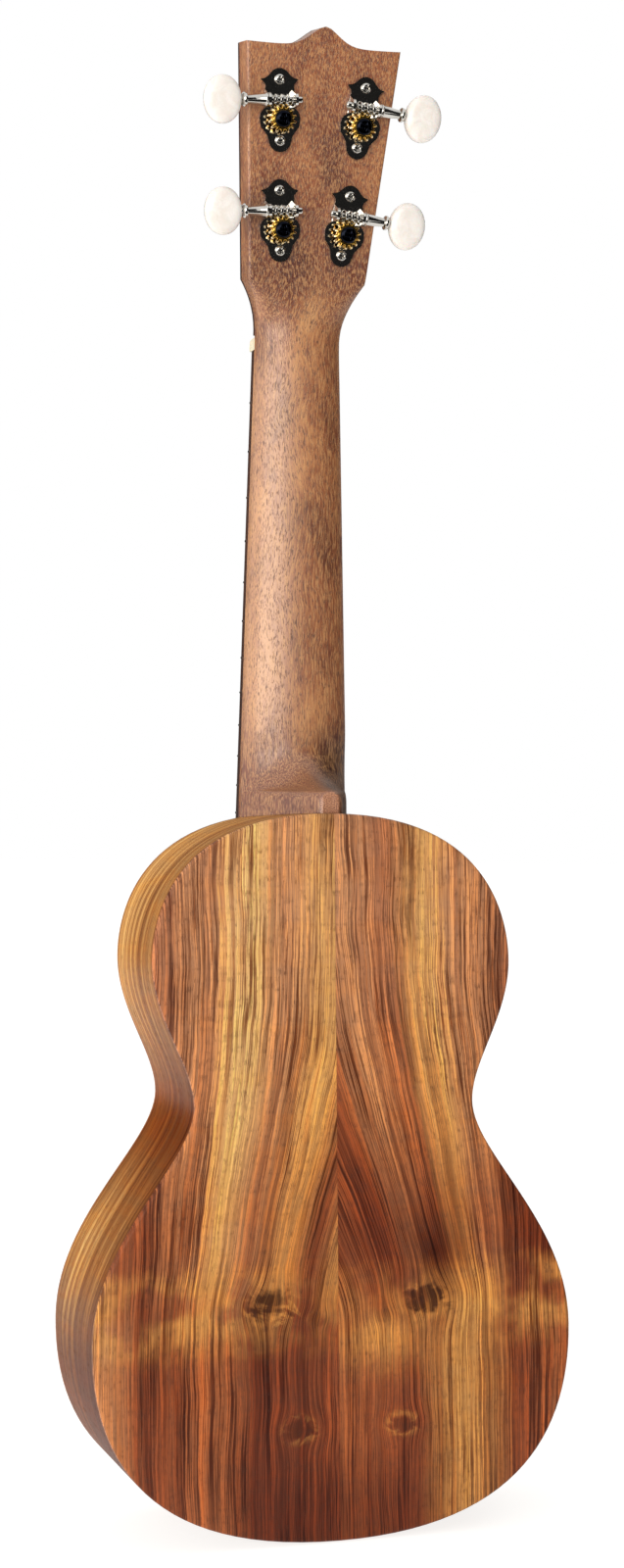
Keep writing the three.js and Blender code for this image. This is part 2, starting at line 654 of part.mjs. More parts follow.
// Base plate: an arched top with two horns, a waist between the ears, lobes beside the gear.
function basePlateGeometry() {
  const right = new THREE.Shape()
    .moveTo(0, -12.8)
    .absarc(0, -8.1, 4.7, -Math.PI / 2, -0.15)
    .quadraticCurveTo(5.4, -5.4, 7.9, -3.2)
    .lineTo(8.5, 0.4)
    .lineTo(7.6, 3.2)
    .lineTo(EAR.outer, 4.4)
    .lineTo(EAR.outer, 11.6)
    .quadraticCurveTo(5.4, 13.2, 7.7, 15.4)
    .quadraticCurveTo(5, 15.6, 3.6, 18)
    .quadraticCurveTo(2.2, 19.8, 0, 19.8);
  const half = right.getPoints(3);
  const outline = [...half, ...flipX(half).slice(1, -1)];
  const shape = new THREE.Shape(outline);
  const hole = (y, radius) => new THREE.Path().absarc(0, y, radius, 0, 2 * Math.PI, true);
  shape.holes.push(hole(0, POST.radius + GAP));
  for (const y of Object.values(PLATE_SCREWS)) shape.holes.push(hole(y, SCREW_HOLE_R));
  const sheet = new THREE.ExtrudeGeometry(shape, {
    depth: BASE.high - BASE.low, bevelEnabled: false, curveSegments: 4,
  }).translate(0, 0, BASE.low);

  const ears = [[EAR.inner, EAR.outer], [-EAR.outer, -EAR.inner]].map(([x0, x1]) => {
    const ear = new THREE.Shape()
      .moveTo(CENTRES - 2.8, BASE.low)
      .lineTo(CENTRES + 3.6, BASE.low)
      .lineTo(CENTRES + 2.7, WORM_Z)
      .absarc(CENTRES, WORM_Z, EAR.top - WORM_Z, 0, Math.PI)
      .closePath();
    ear.holes.push(new THREE.Path().absarc(CENTRES, WORM_Z, 1.5 + GAP, 0, 2 * Math.PI, true));
    const solid = new THREE.ExtrudeGeometry(ear, { depth: x1 - x0, bevelEnabled: false, curveSegments: 4 });
    const place = new THREE.Matrix4().makeBasis(v3(0, 1, 0), v3(0, 0, 1), v3(1, 0, 0));
    return solid.applyMatrix4(place.setPosition(x0, 0, 0));
  });
  return join([sheet, ...ears]);
}

// Turns a piece made along z about its own axis into one along x at the worm's height.
const alongWorm = (geometry) => geometry.rotateY(Math.PI / 2).translate(0, CENTRES, WORM_Z);

// Worm, shaft and collar in one piece; the thread winds right-handed about the outward axis.
function wormGeometry() {
  const root = WORM_PITCH_R - DEDENDUM;
  const shaft = alongWorm(turned([
    [0, -8.4], [1.5, -8.4], [1.5, -EAR.inner + GAP], [root, -EAR.inner + GAP],
    [root, EAR.inner - GAP], [1.5, EAR.inner - GAP], [1.5, EAR.outer + GAP],
    [2.9, EAR.outer + GAP], [2.9, 7.2], [2.5, 7.4], [1.7, 14.4], [2.9, 15],
    [2.9, 16.2], [2.3, BUTTON.start - GAP], [1.3, BUTTON.start - GAP], [1.3, 22], [0, 22],
  ], 10));
  const [stepsPerTurn, turns] = [8, 3];
  const rings = [];
  for (let i = 0; i <= stepsPerTurn * turns; i += 1) {
    const angle = ((i / stepsPerTurn) - turns / 2) * 2 * Math.PI;
    const middle = (THREAD_PITCH * angle) / (2 * Math.PI);
    const section = [[root - 0.3, -0.62], [WORM_PITCH_R + ADDENDUM, -0.3],
      [WORM_PITCH_R + ADDENDUM, 0.3], [root - 0.3, 0.62]];
    rings.push(section.map(([radius, x]) => v3(
      middle + x, CENTRES + radius * Math.cos(angle), WORM_Z + radius * Math.sin(angle),
    )));
  }
  return join([shaft, loft(rings)]);
}

// Fourteen-tooth helical wheel with one tooth standing between two turns of the thread.
function gearGeometry() {
  const lead = THREAD_PITCH / (2 * Math.PI * WORM_PITCH_R);
  const corners = [[-0.3, -DEDENDUM], [-0.145, ADDENDUM], [0.145, ADDENDUM], [0.3, -DEDENDUM]];
  const ringAt = (z) => {
    const twist = ((z - WORM_Z) * lead) / GEAR_PITCH_R;
    return Array.from({ length: TEETH }, (_, tooth) => corners.map(([share, out]) => {
      const angle = Math.PI / 2 + twist + ((tooth + share) * 2 * Math.PI) / TEETH;
      const radius = GEAR_PITCH_R + out;
      return v3(radius * Math.cos(angle), radius * Math.sin(angle), z);
    })).flat();
  };
  const wheel = starLoft(ringAt(GEAR.low), ringAt(GEAR.high));
  const half = GEAR.squareHalf;
  return cut(wheel, [box(-half, half, -half, half, 0, 10)]);
}

function postGeometry() {
  const { radius, waist, tip } = POST;
  const body = turned([
    [0, tip], [radius - 0.6, tip], [radius, tip + 0.6], [radius, tip + 2.2], [waist, tip + 3],
    [waist, FACE - 2.6], [radius, FACE - 1.8], [radius, GEAR.low - GAP], [0, GEAR.low - GAP],
  ], 12);
  const half = GEAR.squareHalf - GAP;
  const drive = box(-half, half, -half, half, GEAR.low - 1, GEAR.high);
  const eye = rod(0.8, -5, 5, 0, 0, 8).rotateX(Math.PI / 2).translate(0, 0, FACE - 6.2);
  return cut(join([body, drive]), [rod(1.2, 1, 10, 0, 0, 8), eye]);
}

function gearScrewGeometry() {
  const z = GEAR.high + GAP;
  return turned([
    [0, 1.6], [0.9, 1.6], [0.9, z], [3.1, z], [3.1, z + 0.5], [2.2, z + 1.2], [0, z + 1.5],
  ], 12);
}

function plateScrewGeometry() {
  const z = BASE.high + GAP;
  return turned([
    [0, -7], [0.9, -6], [0.9, z], [2.1, z], [2.1, z + 0.3], [1.5, z + 0.8], [0, z + 0.95],
  ], 8);
}

function bushingGeometry() {
  const [bore, outer, flange] = [POST.radius + GAP, POST.radius + 1.2, POST.radius + 2.4];
  const points = [[bore, -6], [bore, FACE - GAP - 1.2], [flange - 0.4, FACE - GAP - 1.2],
    [flange, FACE - GAP - 0.8], [flange, FACE - GAP], [outer, FACE - GAP], [outer, -6], [bore, -6]];
  return turned(points, 12);
}

// Oval button with cushion-shaped faces and a blind bore for the shaft.
function buttonGeometry() {
  const { start, length, width, thick } = BUTTON;
  const rings = [];
  const count = 14;
  for (const [level, share] of [[-0.5, 0.8], [-0.34, 0.95], [0, 1], [0.34, 0.95], [0.5, 0.8]]) {
    rings.push(Array.from({ length: count }, (_, k) => {
      const angle = (2 * Math.PI * (k + 0.5)) / count;
      const [c, s] = [Math.cos(angle), Math.sin(angle)];
      const x = start + length / 2 + (length / 2) * share * c;
      return v3(x, CENTRES + (width / 2) * share * s, WORM_Z + thick * level);
    }));
  }
  return cut(loft(rings), [alongWorm(rod(1.6, start - 2, 22.4, 0, 0, 10))]);
}

function addMachine(head, place) {
  const machine = new THREE.Group();
  machine.position.set(place.x, place.y, 0);
  machine.rotation.z = -place.side * MACHINE_LEAN;
  head.add(machine);
  const add = (name, geometry, finish, x = 0, y = 0) => {
    const handed = place.side > 0 ? geometry : mirrored(geometry);
    piece(machine, `${name}_${place.name}`, handed, finish).position.set(x, y, 0);
  };
  add('tuner_plate', basePlateGeometry(), 'nickel');
  add('tuner_worm', wormGeometry(), 'nickel');
  add('tuner_gear', gearGeometry(), 'brass');
  add('tuner_post', postGeometry(), 'nickel');
  add('gear_screw', gearScrewGeometry(), 'blackScrew');
  add('post_bushing', bushingGeometry(), 'nickel');
  add('tuner_button', buttonGeometry(), 'pearl');
  add('plate_screw_top', plateScrewGeometry(), 'nickel', 0, PLATE_SCREWS.top);
  add('plate_screw_low', plateScrewGeometry(), 'nickel', 0, PLATE_SCREWS.low);
}

function addHeadstock(parent) {
  const head = new THREE.Group();
  head.applyMatrix4(headMatrix);
  parent.add(head);
  piece(head, 'headplate', headplateGeometry(), 'rosewood');
  for (const place of machinePlaces()) addMachine(head, place);
}

// ---------------------------------------------------------------- the whole instrument

const ukulele = new THREE.Group();
addBody(ukulele);
addBodyInside(ukulele);
addNeck(ukulele);
addFingerboard(ukulele);
addBridge(ukulele);
addStrings(ukulele);
addHeadstock(ukulele);

export default ukulele;
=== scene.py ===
"""Concert ukulele: the visual model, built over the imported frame.

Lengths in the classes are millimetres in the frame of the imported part: +Z up from the tail to the
headstock, -Y out of the soundboard, +Y out of the back. Meshes are scaled to metres when made.
"""

import json
import logging
import math
from dataclasses import dataclass, field
from enum import Enum
from typing import Callable, Iterable, Optional, Sequence, Union

import bmesh
import bpy
from mathutils import Matrix, Quaternion, Vector
from mathutils.geometry import tessellate_polygon


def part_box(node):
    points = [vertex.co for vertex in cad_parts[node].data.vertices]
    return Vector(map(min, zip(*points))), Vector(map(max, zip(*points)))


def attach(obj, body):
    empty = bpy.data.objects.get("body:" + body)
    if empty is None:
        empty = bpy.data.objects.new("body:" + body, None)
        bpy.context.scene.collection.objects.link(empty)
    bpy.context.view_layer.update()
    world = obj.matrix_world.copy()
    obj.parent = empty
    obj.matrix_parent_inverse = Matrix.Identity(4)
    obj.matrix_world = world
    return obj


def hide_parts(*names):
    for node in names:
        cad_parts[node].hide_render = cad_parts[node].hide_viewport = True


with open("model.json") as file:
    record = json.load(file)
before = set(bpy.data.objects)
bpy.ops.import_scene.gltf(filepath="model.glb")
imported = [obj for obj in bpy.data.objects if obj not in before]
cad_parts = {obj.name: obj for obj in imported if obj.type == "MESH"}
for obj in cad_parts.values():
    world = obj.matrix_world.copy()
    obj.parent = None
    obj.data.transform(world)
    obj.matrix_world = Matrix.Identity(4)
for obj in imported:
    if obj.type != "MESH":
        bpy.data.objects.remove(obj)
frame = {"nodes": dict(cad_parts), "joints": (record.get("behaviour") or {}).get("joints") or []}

MM = 0.001
WELD = 2e-6  # corners closer than this are one, in metres
SLIVER = 1e-7  # an edge shorter than this goes, in metres
ROUNDING = (0.0, 0.52, 1.05, 1.571)  # angles of the points of a rounded edge
LOG = logging.getLogger("ukulele")

Ring = list[Vector]
Plan = list[tuple[float, float]]
Socket = bpy.types.NodeSocket
Value = Union[float, Socket]
ROOT = "body_and_neck"


# ------------------------------------------------------------------------------ shader wiring


def tone(code: str) -> tuple[float, float, float, float]:
    """Turns a display colour such as "b0783f" into a linear colour.

    Args:
        code: Six hexadecimal digits, red, green, blue.

    Returns:
        Linear red, green, blue and an alpha of 1.
    """
    channels = [int(code[i : i + 2], 16) / 255 for i in (0, 2, 4)]
    linear = [c / 12.92 if c < 0.04045 else ((c + 0.055) / 1.055) ** 2.4 for c in channels]
    return linear[0], linear[1], linear[2], 1.0


class Wires:
    """Short-hand for building one shader tree."""

    def __init__(self, tree: bpy.types.NodeTree) -> None:
        """Keeps the tree that the nodes go into."""
        self.tree = tree

    def node(self, kind: str, **settings: object) -> bpy.types.Node:
        """Adds a node and sets its properties.

        Args:
            kind: The node's type name without its "ShaderNode" prefix.
            **settings: Properties of the node.

        Returns:
            The new node.
        """
        made = self.tree.nodes.new(f"ShaderNode{kind}")
        for name, value in settings.items():
            setattr(made, name, value)
        return made

    def plug(self, target: Socket, value: Value) -> None:
        """Links a socket to an input, or sets the input to a number or colour."""
        if isinstance(value, bpy.types.NodeSocket):
            self.tree.links.new(value, target)
        else:
            target.default_value = value

    def math(self, operation: str, *values: Value) -> Socket:
        """Adds a Math node.

        Args:
            operation: The node's operation, such as "MULTIPLY".
            *values: Its inputs in order.

        Returns:
            The result.
        """
        made = self.node("Math", operation=operation)
        for target, value in zip(made.inputs, values):
            self.plug(target, value)
        return made.outputs[0]

    def add(self, a: Value, b: Value) -> Socket:
        """The sum of two values."""
        return self.math("ADD", a, b)

    def sub(self, a: Value, b: Value) -> Socket:
        """The difference of two values."""
        return self.math("SUBTRACT", a, b)

    def mul(self, a: Value, b: Value) -> Socket:
        """The product of two values."""
        return self.math("MULTIPLY", a, b)

    def span(self, value: Value, low: float, high: float, to_low: float = 0.0, to_high: float = 1.0) -> Socket:
        """Maps a range to another with soft ends.

        Args:
            value: What to map.
            low: Start of the range.
            high: End of the range.
            to_low: Result at and before the start.
            to_high: Result at and after the end.

        Returns:
            The mapped value.
        """
        made = self.node("MapRange", interpolation_type="SMOOTHSTEP")
        for target, item in zip(made.inputs, (value, low, high, to_low, to_high)):
            self.plug(target, item)
        return made.outputs[0]

    def bell(self, value: Value, centre: float, width: float) -> Socket:
        """A bell curve of a value round a centre."""
        share = self.mul(self.sub(value, centre), 1 / width)
        return self.math("EXPONENT", self.mul(self.mul(share, share), -1.0))

    def vector(self, x: Value, y: Value, z: Value) -> Socket:
        """Joins three values to a vector."""
        made = self.node("CombineXYZ")
        for target, value in zip(made.inputs, (x, y, z)):
            self.plug(target, value)
        return made.outputs[0]

    def noise(
        self, place: Socket, scale: float, detail: float = 3.0, rough: float = 0.5, warp: float = 0.0,
    ) -> Socket:
        """Adds a noise texture.

        Args:
            place: Where it is read.
            scale: Its frequency.
            detail: Number of octaves.
            rough: Share of the finer octaves.
            warp: Its distortion.

        Returns:
            The value, from 0 to 1.
        """
        made = self.node("TexNoise")
        self.plug(made.inputs["Vector"], place)
        for name, value in (("Scale", scale), ("Detail", detail), ("Roughness", rough), ("Distortion", warp)):
            made.inputs[name].default_value = value
        return made.outputs["Fac"]

    def stretched(
        self, place: Sequence[Value], scales: Sequence[float], detail: float = 3.0, rough: float = 0.5, warp: float = 0.0,
    ) -> Socket:
        """Adds a noise texture with its own frequency along each axis.

        Args:
            place: Where it is read.
            scales: Its frequency along each of the three.
            detail: Number of octaves.
            rough: Share of the finer octaves.
            warp: Its distortion.

        Returns:
            The value, from 0 to 1.
        """
        ends = [value if scale == 1 else self.mul(value, scale) for value, scale in zip(place, scales)]
        return self.noise(self.vector(*ends), 1.0, detail, rough, warp)

    def centred(self, value: Value, reach: float) -> Socket:
        """A value from 0 to 1 turned into a shift to either side."""
        return self.mul(self.sub(value, 0.5), reach)

    def tint(self, colour: Value, code: str, mask: Value, share: float = 1.0, blend: str = "MIX") -> Socket:
        """Lays a display colour over another where a mask says.

        Args:
            colour: The colour under it.
            code: The display colour.
            mask: Where it shows, from 0 to 1.
            share: How much of it shows there.
            blend: The way they mix, such as "MULTIPLY".

        Returns:
            The mixed colour.
        """
        return self.mix(mask if share == 1 else self.mul(mask, share), colour, tone(code), blend)

    def mix(self, share: Value, a: Value, b: Value, blend: str = "MIX") -> Socket:
        """Mixes two colours.

        Args:
            share: How much of the second.
            a: First colour.
            b: Second colour.
            blend: The way they mix, such as "MULTIPLY".

        Returns:
            The mixed colour.
        """
        made = self.node("Mix", data_type="RGBA", blend_type=blend)
        for target, value in ((made.inputs[0], share), (made.inputs[6], a), (made.inputs[7], b)):
            self.plug(target, value)
        return made.outputs[2]

    def ramp(self, value: Value, stops: Sequence[tuple[float, str]], low: float = 0.0, high: float = 1.0) -> Socket:
        """Adds a colour ramp whose stops lie between two limits.

        Args:
            value: Position along the ramp, in the same units as the stops.
            stops: Positions and display colours.
            low: Position of the ramp's start.
            high: Position of the ramp's end.

        Returns:
            The colour.
        """
        made = self.node("ValToRGB")
        line = made.color_ramp
        line.interpolation = "EASE"
        for index, (place, code) in enumerate(stops):
            share = (place - low) / (high - low)
            stop = line.elements[index] if index < 2 else line.elements.new(share)
            stop.position = share
            stop.color = tone(code)
        self.plug(made.inputs[0], self.mul(self.sub(value, low), 1 / (high - low)))
        return made.outputs[0]

    def bump(self, height: Value, distance: float, strength: float = 1.0) -> Socket:
        """Adds a bump and returns its normal.

        Args:
            height: The height map.
            distance: Height of its full range, in metres.
            strength: Share of the effect.

        Returns:
            The normal.
        """
        made = self.node("Bump")
        made.inputs["Distance"].default_value = distance
        made.inputs["Strength"].default_value = strength
        self.plug(made.inputs["Height"], height)
        return made.outputs["Normal"]

    def surface(
        self, shader: bpy.types.Node, colour: Value, rough: Value, height: Value, depth: float, strength: float
    ) -> None:
        """Plugs colour, roughness and relief into a Principled BSDF.

        Args:
            shader: The Principled BSDF.
            colour: Its base colour.
            rough: Its roughness.
            height: Its height map.
            depth: Height of the map's full range, in metres.
            strength: Share of the relief that shows.
        """
        self.plug(shader.inputs["Base Color"], colour)
        self.plug(shader.inputs["Roughness"], rough)
        self.plug(shader.inputs["Normal"], self.bump(height, depth, strength))

    def millimetres(self) -> tuple[Socket, Socket, Socket]:
        """The place on the object in millimetres, as x, y and z."""
        place = self.node("TexCoord").outputs["Object"]
        split = self.node("SeparateXYZ")
        scaled = self.node("VectorMath", operation="SCALE")
        self.plug(scaled.inputs[0], place)
        scaled.inputs["Scale"].default_value = 1 / MM
        self.plug(split.inputs[0], scaled.outputs[0])
        return split.outputs[0], split.outputs[1], split.outputs[2]


class SharedEffect(Enum):
    """The shader node groups that several finishes use."""

    GRAIN = "wood_grain"
    SCUFF = "metal_scuff"


def open_group(effect: SharedEffect, inputs: dict[str, str], outputs: Sequence[str]) -> bpy.types.NodeTree:
    """Starts a shader node group.

    Args:
        effect: The effect.
        inputs: Its inputs and their socket types.
        outputs: Its outputs, all numbers.

    Returns:
        The empty group.
    """
    tree = bpy.data.node_groups.new(effect.value, "ShaderNodeTree")
    for label, kind in inputs.items():
        tree.interface.new_socket(label, in_out="INPUT", socket_type=f"NodeSocket{kind}")
    for label in outputs:
        tree.interface.new_socket(label, in_out="OUTPUT", socket_type="NodeSocketFloat")
    return tree


def grain_group() -> bpy.types.NodeTree:
    """Wood seen close: streaks along the grain, open pores, and bands of figure across it.

    Returns:
        The group. Its inputs are the place across, through and along the grain, in millimetres, and
        the width of the streaks. It puts out Streak, Pores and Curl, each from 0 to 1.
    """
    effect = SharedEffect.GRAIN
    if effect.value in bpy.data.node_groups:
        return bpy.data.node_groups[effect.value]
    tree = open_group(
        effect, dict.fromkeys(("Across", "Through", "Along", "Width"), "Float"), ("Streak", "Pores", "Curl"),
    )
    wires = Wires(tree)
    given = tree.nodes.new("NodeGroupInput").outputs
    result = tree.nodes.new("NodeGroupOutput").inputs
    across = wires.math("DIVIDE", given["Across"], given["Width"])
    through = wires.math("DIVIDE", given["Through"], given["Width"])
    along = given["Along"]
    fine = wires.stretched((across, through, along), (1.9, 1.9, 0.03), 4.0, 0.6)
    broad = wires.stretched((across, through, along), (0.42, 0.42, 0.008), 2.0)
    streak = wires.add(wires.mul(fine, 0.6), wires.mul(broad, 0.4))
    wires.plug(result["Streak"], wires.span(streak, 0.34, 0.66))
    dashes = wires.stretched((across, through, along), (2.6, 2.6, 0.3), 2.0, 0.4)
    crowd = wires.stretched((across, through, along), (0.2, 0.2, 0.02), 1.0)
    wires.plug(result["Pores"], wires.span(wires.add(dashes, wires.mul(crowd, 0.12)), 0.64, 0.74))
    ripple = wires.stretched((across, through, along), (0.035, 0.035, 0.11), 2.0, 0.5, 0.6)
    wires.plug(result["Curl"], wires.span(ripple, 0.35, 0.7))
    return tree


def scuff_group() -> bpy.types.NodeTree:
    """Polished metal in use: a cloudy haze and fine hairline scratches.

    Returns:
        The group. Its input is the place in millimetres. It puts out Haze and Lines, from 0 to 1.
    """
    effect = SharedEffect.SCUFF
    if effect.value in bpy.data.node_groups:
        return bpy.data.node_groups[effect.value]
    tree = open_group(effect, {"Place": "Vector"}, ("Haze", "Lines"))
    wires = Wires(tree)
    place = tree.nodes.new("NodeGroupInput").outputs["Place"]
    result = tree.nodes.new("NodeGroupOutput").inputs
    wires.plug(result["Haze"], wires.span(wires.noise(place, 0.3, 2.0, 0.5), 0.3, 0.75))
    turned = wires.node("Mapping")
    turned.inputs["Rotation"].default_value = (0.4, 0.9, 0.3)
    turned.inputs["Scale"].default_value = (0.3, 6.0, 6.0)
    wires.plug(turned.inputs["Vector"], place)
    wires.plug(result["Lines"], wires.span(wires.noise(turned.outputs[0], 1.0, 2.0), 0.62, 0.7))
    return tree


@dataclass(frozen=True)
class Finish:
    """What every finish has.

    Attributes:
        name: The material's name.
        slot: The record's material slot that it stands for. It is not used.
        shine: Strength of the surface reflection, 0.5 for clean varnish.
    """

    name: str
    slot: str
    shine: float = field(default=0.35, kw_only=True)

    def start(self) -> tuple[bpy.types.Material, Wires, bpy.types.Node]:
        """Makes an empty material.

        Returns:
            The material, its wires and its Principled BSDF.
        """
        material = bpy.data.materials.new(f"{self.name}_finish")
        material.use_nodes = True
        shader = material.node_tree.nodes["Principled BSDF"]
        shader.inputs["Specular IOR Level"].default_value = self.shine
        return material, Wires(material.node_tree), shader

    def material(self) -> bpy.types.Material:
        """The finish's material, made on first use."""
        return bpy.data.materials.get(f"{self.name}_finish") or self.build()

    def build(self) -> bpy.types.Material:
        """Builds the material."""
        raise NotImplementedError


class Lie(Enum):
    """How the grain of a wooden piece lies."""

    UPRIGHT = "along Z"
    CROSSWISE = "along X"


def grain_sockets(
    wires: Wires, across: Value, through: Value, along: Value, width: float,
) -> tuple[Socket, Socket, Socket]:
    """Places the shared grain effect in a material.

    Args:
        wires: The material's wires.
        across: Place across the grain, in millimetres.
        through: Place through the board.
        along: Place along the grain.
        width: Width of the streaks, 1 for fine wood.

    Returns:
        Streak, pores and curl.
    """
    made = wires.node("Group")
    made.node_tree = grain_group()
    for name, value in (("Across", across), ("Through", through), ("Along", along), ("Width", width)):
        wires.plug(made.inputs[name], value)
    return made.outputs["Streak"], made.outputs["Pores"], made.outputs["Curl"]


@dataclass(frozen=True)
class WoodFinish(Finish):
    """Plain oiled wood with streaks, pores and a little figure.

    Attributes:
        dark: Colour of the dark streaks.
        middle: The main colour.
        light: Colour of the light streaks.
        pore: Colour of the pores.
        lie: How the grain lies.
        width: Width of the streaks.
        pores: Strength of the pores.
        curl: Strength of the figure.
        bands: Strength of the broad bands across the grain.
        roughness: Mean roughness.
    """

    dark: str = "7a4a2c"
    middle: str = "9c6842"
    light: str = "b98a5e"
    pore: str = "4a2a18"
    lie: Lie = Lie.UPRIGHT
    width: float = 1.0
    pores: float = 0.6
    curl: float = 0.2
    bands: float = 0.5
    roughness: float = 0.45

    def build(self) -> bpy.types.Material:
        """Builds the material.

        Returns:
            The material.
        """
        material, wires, shader = self.start()
        x, y, z = wires.millimetres()
        across, through, along = (x, y, z) if self.lie is Lie.UPRIGHT else (z, y, x)
        drift = wires.stretched((along, across, 0.0), (0.012, 0.03, 1.0), 2.0)
        across = wires.add(across, wires.centred(drift, 14.0))
        streak, pores, curl = grain_sockets(wires, across, through, along, self.width)
        broad = wires.stretched((across, through, along), (0.11, 0.11, 0.006), 2.0, 0.6)
        level = wires.add(wires.mul(wires.span(broad, 0.3, 0.7), self.bands), wires.mul(streak, 1 - self.bands))
        colour = wires.ramp(level, ((0.0, self.dark), (0.5, self.middle), (1.0, self.light)))
        lift = wires.mix(wires.mul(curl, self.curl), colour, tone(self.light), "SOFT_LIGHT")
        colour = wires.mix(wires.mul(pores, self.pores), lift, tone(self.pore))
        rough = wires.add(wires.add(wires.mul(streak, -0.08), wires.mul(pores, 0.15)), self.roughness + 0.04)
        height = wires.sub(wires.mul(streak, 0.3), wires.mul(pores, 0.8))
        wires.surface(shader, colour, rough, height, 0.00008, 0.5)
        return material


@dataclass(frozen=True)
class Knot:
    """A pin knot in the koa, mirrored over the seam.

    Attributes:
        left: Distance from the seam in the left half.
        right: The same in the right half.
        up: Height over the tail.
        reach: Radius of the disturbed grain.
        heart: Strength of its dark heart.
    """

    left: float
    right: float
    up: float
    reach: float
    heart: float


class KoaTone(Enum):
    """The tones of a koa board, from pale to dark."""

    HONEY = "dcac70"
    GOLD = "c89456"
    TAN = "b47e56"
    CHESTNUT = "985c3a"
    RUSSET = "80462c"
    UMBER = "683624"


Bands = tuple[tuple[float, KoaTone], ...]


@dataclass(frozen=True)
class Board:
    """The broad colour bands of one board of the back, by distance from the seam in millimetres.

    Attributes:
        upper: Bands over the waist, below zero where their grain starts at the seam.
        lower: Bands of the lower bout.
    """

    upper: Bands
    lower: Bands

    def colour(self, wires: Wires, line: Socket, plain: Socket, low: Socket) -> Socket:
        """The board's colour before its streaks.

        Args:
            wires: The material's wires.
            line: Distance from the seam along the fanned grain.
            plain: Plain distance from the seam.
            low: 0 on the upper part, 1 on the lower bout.

        Returns:
            The colour.
        """
        sides = []
        for bands, place in ((self.upper, line), (self.lower, plain)):
            stops = [(at, shade.value) for at, shade in bands]
            sides.append(wires.ramp(place, stops, stops[0][0] - 1.0, stops[-1][0] + 1.0))
        return wires.mix(low, *sides)


LEFT_BOARD = Board(
    upper=(
        (-30.0, KoaTone.GOLD), (-16.0, KoaTone.CHESTNUT), (0.0, KoaTone.GOLD), (20.0, KoaTone.TAN),
        (35.0, KoaTone.HONEY), (50.0, KoaTone.TAN), (75.0, KoaTone.CHESTNUT),
    ),
    lower=(
        (0.0, KoaTone.RUSSET), (30.0, KoaTone.UMBER), (50.0, KoaTone.CHESTNUT), (75.0, KoaTone.RUSSET),
        (95.0, KoaTone.TAN),
    ),
)
RIGHT_BOARD = Board(
    upper=(
        (-40.0, KoaTone.CHESTNUT), (-15.0, KoaTone.RUSSET), (5.0, KoaTone.TAN), (20.0, KoaTone.CHESTNUT),
        (35.0, KoaTone.GOLD), (50.0, KoaTone.TAN), (75.0, KoaTone.RUSSET),
    ),
    lower=(
        (0.0, KoaTone.CHESTNUT), (30.0, KoaTone.RUSSET), (50.0, KoaTone.GOLD), (75.0, KoaTone.RUSSET),
        (90.0, KoaTone.CHESTNUT),
    ),
)


